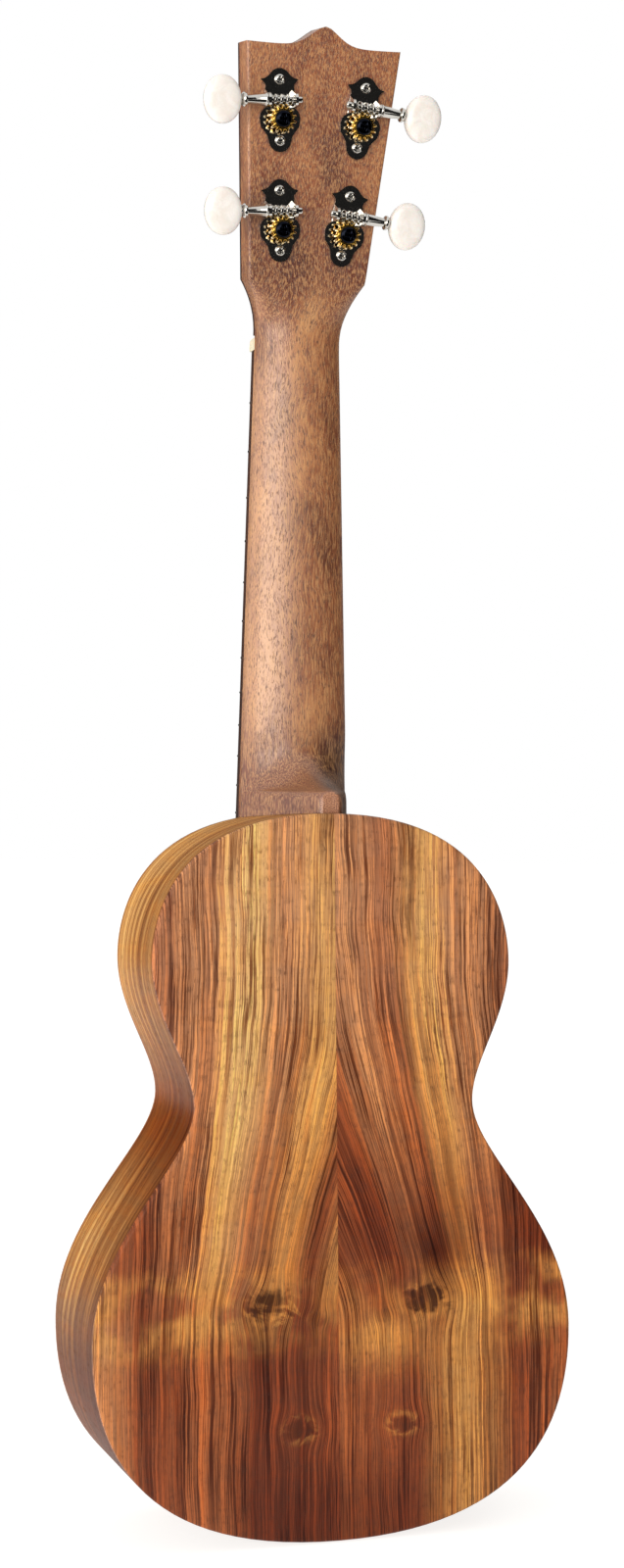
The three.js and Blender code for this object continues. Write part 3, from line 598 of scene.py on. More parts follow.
@dataclass(frozen=True)
class KoaBack(Finish):
    """Two bookmatched koa boards whose grain fans out from the seam below the waist.

    Attributes:
        seam_spread: How far the fan has moved out at its foot, left and right.
        reach: Distance from the seam where the fan has died out, left and right.
        fan: Heights where the fan starts and where it is complete.
        swap: Heights between which the upper board's bands give way to the lower ones.
        knots: The knots.
        roughness: Mean roughness.
    """

    seam_spread: tuple[float, float] = (36.0, 60.0)
    reach: tuple[float, float] = (100.0, 82.0)
    fan: tuple[float, float] = (235.0, 90.0)
    swap: tuple[float, float] = (106.0, 80.0)
    knots: tuple[Knot, ...] = (
        Knot(27.5, 37.0, 90.0, 12.0, 0.95), Knot(16.0, 26.0, 43.0, 8.0, 0.5), Knot(8.0, 19.0, 85.0, 6.0, 0.25),
    )
    roughness: float = 0.4

    def knot_place(self, wires: Wires, knot: Knot, out: Socket, right: Socket, z: Socket) -> tuple[Socket, Socket]:
        """Sideways offset from a knot and the distance to it, squashed along the grain.

        Args:
            wires: The material's wires.
            knot: The knot.
            out: Distance from the seam.
            right: 1 in the right half, 0 in the left.
            z: Height.

        Returns:
            Sideways offset and distance.
        """
        middle = wires.add(wires.mul(right, knot.right - knot.left), knot.left)
        side, rise = wires.sub(out, middle), wires.sub(z, knot.up)
        square = wires.add(wires.mul(side, side), wires.mul(wires.mul(rise, rise), 1.9))
        return side, wires.math("SQRT", square)

    def grain_line(self, wires: Wires, out: Socket, right: Socket, z: Socket) -> Socket:
        """The grain line through a point, named by its distance from the seam at the top of the fan.

        Args:
            wires: The material's wires.
            out: Distance from the seam.
            right: 1 in the right half, 0 in the left.
            z: Height.

        Returns:
            The line's distance, below zero where it starts at the seam.
        """
        start, foot = self.fan
        drop = wires.math("MAXIMUM", wires.mul(wires.sub(start, z), 1 / (start - foot)), 0.0)
        drop = wires.math("SMOOTH_MIN", drop, 1.0, 0.12)
        spread = wires.add(wires.mul(right, self.seam_spread[1] - self.seam_spread[0]), self.seam_spread[0])
        spread = wires.mul(wires.mul(drop, drop), spread)
        reach = wires.add(wires.mul(right, self.reach[1] - self.reach[0]), self.reach[0])
        taper = wires.math("MAXIMUM", wires.sub(1.0, wires.math("DIVIDE", out, reach)), 0.0)
        return wires.sub(out, wires.mul(spread, taper))

    def build(self) -> bpy.types.Material:
        """Builds the material.

        Returns:
            The material.
        """
        material, wires, shader = self.start()
        x, y, z = wires.millimetres()
        out = wires.math("ABSOLUTE", x)
        right = wires.math("LESS_THAN", x, 0.0)
        wander = wires.stretched((out, right, z), (0.012, 0.4, 0.012), 2.0)
        ripple = wires.stretched((out, right, z), (0.03, 3.0, 0.045), 2.0)
        drift = wires.add(wires.centred(wander, 9.0), wires.centred(ripple, 1.8))
        ragged = wires.stretched((out, right, z), (0.11, 1.0, 0.14), 3.0, 0.6, 0.8)
        hearts: Value = 0.0
        halos: Value = 0.0
        for knot in self.knots:
            side, away = self.knot_place(wires, knot, out, right, z)
            drift = wires.sub(drift, wires.mul(wires.bell(away, 0.0, knot.reach), wires.mul(side, 0.85)))
            away = wires.add(away, wires.mul(wires.sub(ragged, 0.5), knot.reach * 2.2))
            hearts = wires.add(hearts, wires.mul(wires.span(away, knot.reach * 0.85, knot.reach * 0.3), knot.heart))
            ring = wires.mul(wires.bell(away, knot.reach * 0.9, knot.reach * 0.2), wires.span(ragged, 0.45, 0.6))
            halos = wires.add(halos, wires.mul(ring, knot.heart))
        line = wires.add(self.grain_line(wires, out, right, z), drift)
        plain = wires.add(out, drift)
        shift = wires.add(wires.mul(right, 11.0), wires.mul(out, 0.004))
        strands = wires.stretched((line, shift, z), (0.56, 1.0, 0.009), 4.0, 0.74)
        hairs = wires.stretched((line, shift, z), (1.9, 1.0, 0.028), 2.0, 0.65)
        crowd = wires.stretched((line, shift, z), (0.07, 1.0, 0.013), 2.0, 0.6)
        feather = wires.add(wires.centred(strands, 12.0), wires.centred(hairs, 6.0))
        fingers = wires.add(wires.centred(strands, 70.0), wires.centred(wander, 24.0))
        low = wires.span(wires.add(z, fingers), *self.swap)
        line, plain = wires.add(line, feather), wires.add(plain, feather)
        boards = (board.colour(wires, line, plain, low) for board in (LEFT_BOARD, RIGHT_BOARD))
        colour = wires.mix(right, *boards)
        bars = wires.stretched((line, shift, z), (0.17, 1.0, 0.004), 2.0, 0.6)
        colour = wires.tint(colour, "b08068", wires.span(bars, 0.52, 0.6), 0.45, "MULTIPLY")
        colour = wires.tint(colour, "f8dca8", wires.span(bars, 0.46, 0.36), 0.3, "OVERLAY")
        glow = wires.stretched((out, right, z), (0.045, 4.2, 0.05), 2.0, 0.5)
        waved = wires.add(z, wires.centred(ragged, 9.0))
        waved = wires.add(waved, wires.mul(fingers, 0.22))
        belt = wires.mul(wires.span(waved, 66.0, 90.0), wires.span(waved, 108.0, 98.0))
        belt = wires.mul(belt, wires.span(wires.add(glow, wires.mul(strands, 0.4)), 0.56, 0.76))
        belt = wires.mul(belt, wires.span(out, 14.0, 46.0, 0.35, 1.0))
        warm = wires.mul(wires.mul(wires.bell(out, 17.0, 17.0), right), wires.bell(waved, 76.0, 10.0))
        belt = wires.math("MAXIMUM", belt, wires.mul(warm, 0.8))
        lift = wires.math("MAXIMUM", wires.mul(belt, 0.85), wires.mul(halos, 0.6))
        colour = wires.tint(colour, "d9a058", lift)
        smoky = wires.mul(wires.mul(wires.bell(z, 108.0, 18.0), wires.bell(line, 14.0, 14.0)), right)
        colour = wires.tint(colour, "70422f", smoky, 0.85, "MULTIPLY")
        # Painted sheen: the upper bout is mixed towards a pale pink, standing in for the reflection of the lamps.
        colour = wires.tint(colour, "ecccae", wires.span(z, 150.0, 245.0), 0.1)
        deep = wires.mul(wires.span(z, 170.0, 118.0), wires.add(wires.mul(right, 0.35), 0.65))
        deep = wires.mul(deep, wires.sub(1.0, wires.mul(low, 0.8)))
        colour = wires.tint(colour, "d2bebe", deep, blend="MULTIPLY")
        foot = wires.mul(wires.span(z, 46.0, 12.0), wires.bell(out, 4.0, 38.0))
        colour = wires.tint(colour, "c8b4ac", foot, blend="MULTIPLY")
        dark = wires.math("MAXIMUM", wires.span(strands, 0.52, 0.6), wires.mul(wires.span(hairs, 0.52, 0.6), 0.8))
        pale = wires.math("MAXIMUM", wires.span(strands, 0.47, 0.4), wires.mul(wires.span(hairs, 0.46, 0.36), 0.8))
        dark = wires.mul(dark, wires.span(crowd, 0.4, 0.58, 0.35, 1.0))
        colour = wires.tint(colour, "fff2d8", pale, 0.75, "OVERLAY")
        colour = wires.tint(colour, "80604f", dark, 0.95, "MULTIPLY")
        hearts = wires.mul(wires.math("MINIMUM", hearts, 0.9), wires.span(strands, 0.38, 0.52, 0.6, 1.0))
        colour = wires.tint(colour, "34190e", hearts)
        streak, pores, curl = grain_sockets(wires, line, y, z, 0.85)
        colour = wires.tint(colour, "4a2a1c", pores, 0.6)
        colour = wires.tint(colour, "f0c890", curl, 0.2, "SOFT_LIGHT")
        colour = wires.tint(colour, "f0ebe8", 1.0, blend="MULTIPLY")
        rough = wires.add(wires.add(wires.mul(pores, 0.2), wires.mul(streak, -0.07)), self.roughness)
        height = wires.sub(wires.mul(streak, 0.25), wires.mul(pores, 0.9))
        wires.surface(shader, colour, rough, height, 0.00007, 0.5)
        return material


@dataclass(frozen=True)
class KoaSide(Finish):
    """A bent koa side, its stripes running round the body, with painted shade at the waist and round the tail.

    Attributes:
        roughness: Mean roughness.
    """

    roughness: float = 0.42

    def build(self) -> bpy.types.Material:
        """Builds the material.

        Returns:
            The material. It reads the distance round the body and the depth from the UV map.
        """
        material, wires, shader = self.start()
        split = wires.node("SeparateXYZ")
        wires.plug(split.inputs[0], wires.node("TexCoord").outputs["UV"])
        along, across = split.outputs[0], split.outputs[1]
        drift = wires.stretched((along, across, 2.0), (0.008, 0.02, 1.0), 2.0)
        line = wires.add(across, wires.centred(drift, 18.0))
        bands = wires.stretched((along, line, 4.0), (0.002, 0.22, 1.0), 4.0, 0.74)
        colour = wires.ramp(
            wires.span(bands, 0.3, 0.7), ((0.0, "7a4a26"), (0.32, "b07a44"), (0.6, "d09a5a"), (1.0, "e6b874")),
        )
        edge = wires.span(across, 30.0, 41.0)
        colour = wires.tint(colour, "8c5c38", edge, 0.5, "MULTIPLY")
        way = wires.math("ABSOLUTE", along)
        # Painted shade: the sides are darkened round the waist, and from the lower bout down to the tail.
        colour = wires.tint(colour, "9c6e40", wires.bell(way, 232.0, 40.0), blend="MULTIPLY")
        colour = wires.tint(colour, "8a6440", wires.span(way, 180.0, 124.0), blend="MULTIPLY")
        streak, pores, curl = grain_sockets(wires, line, 0.0, along, 1.3)
        colour = wires.tint(colour, "6a3e20", wires.span(streak, 0.62, 0.2), 0.6)
        colour = wires.tint(colour, "e6c080", curl, 0.35, "SOFT_LIGHT")
        colour = wires.tint(colour, "54331f", pores, 0.5)
        rough = wires.add(wires.mul(pores, 0.2), self.roughness)
        height = wires.sub(wires.mul(streak, 0.25), wires.mul(pores, 0.9))
        wires.surface(shader, colour, rough, height, 0.00007, 0.5)
        return material


@dataclass(frozen=True)
class CarvedMahogany(Finish):
    """The satin mahogany of the neck: short dark pores, cloudy bands, a redder heel and head, a painted sheen on the
    neck's left, and painted shade on its right and on the heel.

    Attributes:
        roughness: Mean roughness.
        cap_depth: Y from which the heel's cut face begins, in millimetres.
        cap_half: Half width of the cut face.
        cap_middle: Z of the centre of its round end.
    """

    roughness: float = 0.42
    cap_depth: float = 20.4
    cap_half: float = 4.3
    cap_middle: float = 284.1

    def build(self) -> bpy.types.Material:
        """Builds the material.

        Returns:
            The material.
        """
        material, wires, shader = self.start()
        x, y, z = wires.millimetres()
        cloud = wires.stretched((x, y, z), (0.05, 0.05, 0.022), 3.0, 0.55, 0.5)
        bend = wires.stretched((x, y, z), (0.02, 0.02, 0.03), 2.0)
        across = wires.add(x, wires.centred(bend, 12.0))
        colour = wires.ramp(
            wires.span(cloud, 0.3, 0.7), ((0.0, "6e3a22"), (0.35, "905636"), (0.65, "aa7046"), (1.0, "bc8656")),
        )
        # The heel and the foot of the head are redder and darker. On the heel, part of this darkening is painted
        # shade.
        heel = wires.span(z, 322.0, 300.0)
        head = wires.mul(wires.bell(z, 497.0, 11.0), 0.8)
        warm = wires.math("MINIMUM", wires.add(heel, head), 1.0)
        colour = wires.tint(colour, "642a15", warm, 0.75)
        colour = wires.tint(colour, "d2b4aa", wires.span(z, 478.0, 506.0), blend="MULTIPLY")
        # Painted sheen: the left half of the neck shaft, towards the lamps, is mixed paler.
        pale = wires.mul(
            wires.mul(wires.span(z, 290.0, 330.0), wires.span(z, 476.0, 450.0)), wires.span(x, -4.0, 9.0),
        )
        colour = wires.tint(colour, "dcb090", pale, 0.3)
        # Painted shade: the right side of the neck, away from the lamps, is darkened.
        colour = wires.tint(
            colour, "d0b8b0", wires.mul(wires.span(x, -4.0, -12.0), wires.span(z, 490.0, 440.0)), blend="MULTIPLY",
        )
        # Painted shade: the heel's right side is darkened.
        colour = wires.tint(colour, "946450", wires.mul(heel, wires.span(x, -2.0, -9.0)), blend="MULTIPLY")
        fibre = wires.stretched((across, y, z), (2.3, 2.3, 0.16), 3.0, 0.6)
        colour = wires.tint(colour, "cf9a64", wires.span(fibre, 0.56, 0.4), 0.55)
        streak, pores, _ = grain_sockets(wires, across, y, wires.mul(z, 1.5), 0.8)
        dash = wires.stretched((across, y, z), (1.9, 1.9, 0.34), 2.0, 0.5)
        marks = wires.math("MAXIMUM", wires.span(dash, 0.56, 0.68), pores)
        colour = wires.tint(colour, "4c2817", marks, 0.72)
        up = wires.math("MAXIMUM", wires.sub(z, self.cap_middle), 0.0)
        away = wires.math("SQRT", wires.add(wires.mul(x, x), wires.mul(up, up)))
        cap = wires.mul(wires.math("GREATER_THAN", y, self.cap_depth), wires.math("LESS_THAN", away, self.cap_half))
        speck = wires.stretched((x, 0.0, z), (2.2, 1.0, 2.2), 3.0, 0.6)
        ends = wires.ramp(wires.span(speck, 0.35, 0.65), ((0.0, "7c4a32"), (1.0, "c48c68")))
        rim = wires.mul(wires.bell(away, self.cap_half, 0.5), wires.math("GREATER_THAN", y, self.cap_depth))
        colour = wires.mix(wires.mul(rim, 0.5), wires.mix(cap, colour, ends), tone("4a2012"))
        rough = wires.add(wires.add(wires.mul(marks, 0.14), wires.mul(streak, -0.06)), self.roughness)
        height = wires.sub(wires.mul(fibre, 0.4), wires.mul(marks, 0.7))
        wires.surface(shader, colour, rough, height, 0.00009, 0.55)
        return material


@dataclass(frozen=True)
class MetalFinish(Finish):
    """Plated or bare metal with haze, hairlines and a little tarnish.

    Attributes:
        colour: The metal's colour.
        tarnish: Colour of the duller patches.
        roughness: Roughness where it is clean.
        metallic: Share of metal in the surface.
        wear_colour: Colour where the edges and high spots are rubbed.
        wear: How much of that shows.
    """

    colour: str = "cfccc6"
    tarnish: str = "a8a59e"
    roughness: float = 0.05
    metallic: float = 1.0
    wear_colour: str = "e6e2da"
    wear: float = 0.25

    def build(self) -> bpy.types.Material:
        """Builds the material.

        Returns:
            The material.
        """
        material, wires, shader = self.start()
        place = wires.vector(*wires.millimetres())
        made = wires.node("Group")
        made.node_tree = scuff_group()
        wires.plug(made.inputs["Place"], place)
        haze, lines = made.outputs["Haze"], made.outputs["Lines"]
        rubbed = wires.span(wires.node("NewGeometry").outputs["Pointiness"], 0.52, 0.6)
        colour = wires.mix(wires.mul(haze, 0.5), tone(self.colour), tone(self.tarnish))
        colour = wires.mix(wires.mul(rubbed, self.wear), colour, tone(self.wear_colour))
        shader.inputs["Metallic"].default_value = self.metallic
        rough = wires.add(wires.add(wires.mul(haze, 0.05), wires.mul(lines, 0.05)), self.roughness)
        height = wires.add(wires.mul(haze, 0.5), wires.mul(lines, -0.5))
        wires.surface(shader, colour, rough, height, 0.000004, 0.25)
        return material


@dataclass(frozen=True)
class ShellFinish(Finish):
    """Cream plastic, bone or nylon, with soft swirls or fine growth lines.

    Attributes:
        light: Colour of the light parts.
        shade: Colour of the darker swirls.
        swirl: Frequency of the swirls per millimetre.
        stretch: How much longer the swirls are than wide.
        roughness: Mean roughness.
        coat: Weight of the clear coat.
        glow: Share of light scattered inside.
    """

    light: str = "ebe7e3"
    shade: str = "dfd7cf"
    swirl: float = 0.16
    stretch: float = 1.0
    roughness: float = 0.22
    coat: float = 0.4
    glow: float = 0.1

    def build(self) -> bpy.types.Material:
        """Builds the material.

        Returns:
            The material.
        """
        material, wires, shader = self.start()
        x, y, z = wires.millimetres()
        place = wires.vector(x, y, wires.mul(z, 1 / self.stretch))
        soft = wires.noise(place, self.swirl, 3.0, 0.5, 1.4)
        fine = wires.noise(place, self.swirl * 9, 2.0, 0.5)
        level = wires.add(wires.mul(wires.span(soft, 0.3, 0.7), 0.75), wires.mul(fine, 0.25))
        colour = wires.mix(level, tone(self.light), tone(self.shade))
        shader.inputs["Coat Weight"].default_value = self.coat
        shader.inputs["Subsurface Weight"].default_value = self.glow
        shader.inputs["Subsurface Scale"].default_value = 1.5 * MM
        wires.surface(shader, colour, wires.add(wires.mul(fine, 0.1), self.roughness), fine, 0.00002, 0.3)
        return material


@dataclass(frozen=True)
class StudioPaper(Finish):
    """The pale floor, lit evenly from within like a light table.

    Attributes:
        colour: Its colour.
        glow: Strength of its own light.
    """

    colour: str = "fbfaf8"
    glow: float = 0.88

    def build(self) -> bpy.types.Material:
        """Builds the material.

        Returns:
            The material.
        """
        material, wires, shader = self.start()
        tooth = wires.noise(wires.vector(*wires.millimetres()), 0.4, 3.0)
        shade = wires.mix(wires.mul(tooth, 0.15), tone(self.colour), tone("eceae6"))
        wires.plug(shader.inputs["Base Color"], wires.mix(0.7, shade, tone("4c4c4c")))
        wires.plug(shader.inputs["Emission Color"], shade)
        shader.inputs["Emission Strength"].default_value = self.glow
        shader.inputs["Specular IOR Level"].default_value = 0.0
        wires.plug(shader.inputs["Roughness"], wires.add(wires.mul(tooth, 0.1), 0.8))
        return material


KOA_BACK = KoaBack("koa_back", "koa", shine=0.14)
KOA_TOP = WoodFinish("koa_top", "koa", "744426", "a0683a", "c8965a", bands=0.6, curl=0.35, width=1.1)
KOA_SIDE = KoaSide("koa_side", "koa_side", shine=0.05)
MAHOGANY = WoodFinish("mahogany_block", "mahogany", "6e4228", "96603a", "ae784c", roughness=0.6)
NECK_WOOD = CarvedMahogany("mahogany_neck", "mahogany", shine=1.0)
ROSEWOOD = WoodFinish("rosewood", "rosewood", "23130d", "3c241a", "5a382a", "140b08", pores=0.8, roughness=0.42)
SPRUCE = WoodFinish(
    "spruce", "spruce", "c9a26c", "dcbc8a", "e9d2a8", "b08a58", Lie.CROSSWISE, pores=0.2, roughness=0.68,
)
NICKEL = MetalFinish("nickel", "nickel")
BRASS = MetalFinish("brass", "brass", "cfa24a", "9c7430", 0.14, wear_colour="f2e6c2", wear=0.8)
BLACK_SCREW = MetalFinish("black_screw", "black_screw", "161820", "0c0e13", 0.08, wear_colour="3a4052", wear=0.3)
PEARL = ShellFinish("pearl", "pearl")
BONE = ShellFinish("bone", "bone", "ece4cd", "d8caa6", 0.3, 3.0, 0.35, 0.1)
NYLON = ShellFinish("nylon", "nylon", "e9e5da", "d5cfbf", 0.5, 4.0, 0.3, 0.2, 0.2)


# ------------------------------------------------------------------------------ mesh making


class Cap(Enum):
    """How the end of a skin is closed."""

    OPEN = "left open"
    FACE = "one face"
    STRIPS = "strips between the ring's two halves"


def lerp(a: float, b: float, share: float) -> float:
    """The value a share of the way from a to b."""
    return a + (b - a) * share


def smooth(value: float, low: float, high: float) -> float:
    """A soft step from 0 at low to 1 at high."""
    t = min(max((value - low) / (high - low), 0.0), 1.0)
    return t * t * (3 - 2 * t)


def polar(radius: float, angle: float, z: float) -> Vector:
    """A point by its distance from the z axis, its angle and its height."""
    return Vector((radius * math.cos(angle), radius * math.sin(angle), z))


def circle(radius: float, steps: int, x: float = 0.0, y: float = 0.0) -> Plan:
    """Points of a circle in a plane."""
    turn = [2 * math.pi * (k + 0.5) / steps for k in range(steps)]
    return [(x + radius * math.cos(a), y + radius * math.sin(a)) for a in turn]


class Form:
    """A mesh in the making, in millimetres."""

    def __init__(self) -> None:
        """Starts with nothing."""
        self.points: list[Vector] = []
        self.faces: list[tuple[int, ...]] = []

    def skin(self, rings: Sequence[Ring], start: Cap = Cap.FACE, end: Cap = Cap.FACE) -> "Form":
        """Joins closed rings of equal length by quads.

        Args:
            rings: The rings in order.
            start: How the first ring is closed.
            end: How the last ring is closed.

        Returns:
            The form itself.
        """
        base, n = len(self.points), len(rings[0])
        self.points.extend(point for ring in rings for point in ring)
        for r in range(len(rings) - 1):
            for k in range(n):
                a, b = base + r * n + k, base + r * n + (k + 1) % n
                self.faces.append((a, b, b + n, a + n))
        for cap, first in ((start, base), (end, base + (len(rings) - 1) * n)):
            if cap is Cap.FACE:
                self.faces.append(tuple(range(first, first + n)))
            if cap is Cap.STRIPS:
                for k in range(n // 2 - 1):
                    self.faces.append((first + k, first + k + 1, first + n - 2 - k, first + n - 1 - k))
        return self

    def fill(self, loops: Sequence[Ring]) -> "Form":
        """Fills a flat outline that has holes with triangles.

        Args:
            loops: The outline and then its holes.

        Returns:
            The form itself.
        """
        base = len(self.points)
        self.points.extend(point for loop in loops for point in loop)
        for triangle in tessellate_polygon([list(loop) for loop in loops]):
            self.faces.append(tuple(base + index for index in triangle))
        return self

    def turned(self, profile: Plan, steps: int = 32) -> "Form":
        """Adds a piece turned about z.

        Args:
            profile: Radius and height of each corner, from end to end.
            steps: Number of sides.

        Returns:
            The form itself.
        """
        rings = [[Vector((x, y, z)) for x, y in circle(max(r, 1e-4), steps)] for r, z in profile]
        return self.skin(rings)

    def hoop(self, profile: Plan, steps: int = 48) -> "Form":
        """Adds a ring turned about z whose profile is a closed loop.

        Args:
            profile: Radius and height of each corner.
            steps: Number of sides.

        Returns:
            The form itself.
        """
        rings = [[Vector((x, y, z)) for x, y in circle(r, steps)] for r, z in [*profile, profile[0]]]
        return self.skin(rings, Cap.OPEN, Cap.OPEN)

    def tube(self, path: Sequence[Vector], radius: float, sides: int = 10) -> "Form":
        """Adds a round tube along a path.

        Args:
            path: Its middle line.
            radius: Its radius.
            sides: Number of sides.

        Returns:
            The form itself.
        """
        rings: list[Ring] = []
        across = Vector((1, 0, 0))
        for i, point in enumerate(path):
            along = (path[min(i + 1, len(path) - 1)] - path[max(i - 1, 0)]).normalized()
            across = (across - along * across.dot(along)).normalized()
            other = along.cross(across)
            rings.append([point + across * x + other * y for x, y in circle(radius, sides)])
        return self.skin(rings)

    def prism(self, outline: Plan, low: float, high: float, holes: Sequence[Plan] = ()) -> "Form":
        """Adds a plate of constant thickness along z, with holes.

        Args:
            outline: Its plan.
            low: Height of its lower face.
            high: Height of its upper face.
            holes: Plans of its holes.

        Returns:
            The form itself.
        """
        for level in (low, high):
            self.fill([[Vector((x, y, level)) for x, y in loop] for loop in (outline, *holes)])
        for loop in (outline, *holes):
            self.skin([[Vector((x, y, level)) for x, y in loop] for level in (low, high)], Cap.OPEN, Cap.OPEN)
        return self

    def moved(self, place: Callable[[Vector], Vector]) -> "Form":
        """A copy with every point moved.

        Args:
            place: Gives a point's new place.

        Returns:
            The copy.
        """
        copy = Form()
        copy.points = [place(point) for point in self.points]
        copy.faces = list(self.faces)
        return copy

    def plus(self, *others: "Form") -> "Form":
        """A form with the others added to this one.

        Args:
            *others: What to add.

        Returns:
            The joined form.
        """
        joined = Form()
        for form in (self, *others):
            base = len(joined.points)
            joined.points.extend(form.points)
            joined.faces.extend(tuple(base + index for index in face) for face in form.faces)
        return joined

    def mesh(self, name: str, crease: float) -> bpy.types.Mesh:
        """Makes the Blender mesh, in metres.

        Args:
            name: Its name.
            crease: Angle in degrees from which an edge is shaded sharp.

        Returns:
            The mesh.
        """
        made = bpy.data.meshes.new(name)
        made.from_pydata([point * MM for point in self.points], [], self.faces)
        work = bmesh.new()
        work.from_mesh(made)
        bmesh.ops.remove_doubles(work, verts=work.verts, dist=WELD)
        bmesh.ops.dissolve_degenerate(work, edges=work.edges, dist=SLIVER)
        bmesh.ops.recalc_face_normals(work, faces=work.faces)
        work.to_mesh(made)
        work.free()
        made.shade_smooth()
        made.set_sharp_from_angle(angle=math.radians(crease))
        return made


@dataclass
class Piece:
    """One visible piece of the ukulele.

    Attributes:
        name: Its name.
        form: Its shape in the frame of the part.
        finish: Its finish.
        body: The moving body that it rides on.
        stands_for: The CAD nodes that it replaces.
        bevel: Width of the rounding on its edges, in millimetres.
        crease: Angle from which an edge is shaded sharp.
        chart: Gives the texture place of a point, for wood that follows a bend.
    """

    name: str
    form: Form
    finish: Finish
    body: str = ROOT
    stands_for: Sequence[str] = ()
    bevel: float = 0.0
    crease: float = 38.0
    chart: Optional[Callable[[Vector], tuple[float, float]]] = None

    def place(self) -> bpy.types.Object:
        """Makes the object, dresses it and ties it to its body.

        Returns:
            The object.
        """
        mesh = self.form.mesh(self.name, self.crease)
        if self.chart:
            layer = mesh.uv_layers.new(name="grain")
            for loop in mesh.loops:
                layer.data[loop.index].uv = self.chart(mesh.vertices[loop.vertex_index].co / MM)
        mesh.materials.append(self.finish.material())
        made = bpy.data.objects.new(self.name, mesh)
        bpy.context.scene.collection.objects.link(made)
        if self.bevel:
            round_off = made.modifiers.new("round_off", "BEVEL")
            round_off.width = self.bevel * MM
            round_off.segments = 2
            round_off.limit_method = "ANGLE"
            round_off.angle_limit = math.radians(40)
            round_off.use_clamp_overlap = True
        if self.stands_for:
            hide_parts(*self.stands_for)
        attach(made, self.body)
        LOG.info("%s: %d faces on %s", self.name, len(mesh.polygons), self.body)
        return made


# ------------------------------------------------------------------------------ measures


@dataclass(frozen=True)
class Marks:
    """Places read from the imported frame, in millimetres.

    Attributes:
        front: Y of the soundboard's outer face.
        body_top: Z of the neck joint.
        tail_depth: Soundboard to back at the tail.
        neck_depth: The same at the neck joint.
        nut: Z of the nut's lower face.
        saddle: Z of the saddle's middle.
        tilt: How far the head leans back, in radians.
    """

    front: float
    body_top: float
    tail_depth: float
    neck_depth: float
    nut: float
    saddle: float
    tilt: float

    @classmethod
    def read(cls) -> "Marks":
        """Reads the marks from the CAD nodes and the joints.

        Returns:
            The marks.
        """
        top_low, top_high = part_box("soundboard")
        back_low, back_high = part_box("back_left")
        saddle_low, saddle_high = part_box("saddle")
        post = next(j for j in frame["joints"] if j["name"] == "post_g_spin")
        front = top_low.y / MM
        deep = back_high.y / MM - front
        plate = (top_high.y - top_low.y) / MM
        shallow = back_low.y / MM + plate - front
        return cls(
            front, top_high.z / MM, deep, shallow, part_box("nut")[0].z / MM,
            (saddle_low.z + saddle_high.z) / 2 / MM, math.atan2(-post["axis"][2], post["axis"][1]),
        )

    def back(self, z: float) -> float:
        """Y of the back's outer face at a height."""
        return self.front + lerp(self.tail_depth, self.neck_depth, z / self.body_top)

    def fret(self, n: int) -> float:
        """Z of a fret."""
        return self.nut - (self.nut - self.saddle) * (1 - 2 ** (-n / 12))

    def head(self, x: float, y: float, z: float) -> Vector:
        """A point of the head in the frame of the part.

        Args:
            x: To the right, as seen from behind.
            y: Up the head from the nut.
            z: Out of its rear face.

        Returns:
            The point.
        """
        s, c = math.sin(self.tilt), math.cos(self.tilt)
        return Vector((-x, self.front + HEAD_REAR + y * s + z * c, self.nut + y * c - z * s))


HEAD_REAR = 10.13  # the head's rear face behind the soundboard plane, level with the nut


# ------------------------------------------------------------------------------ body


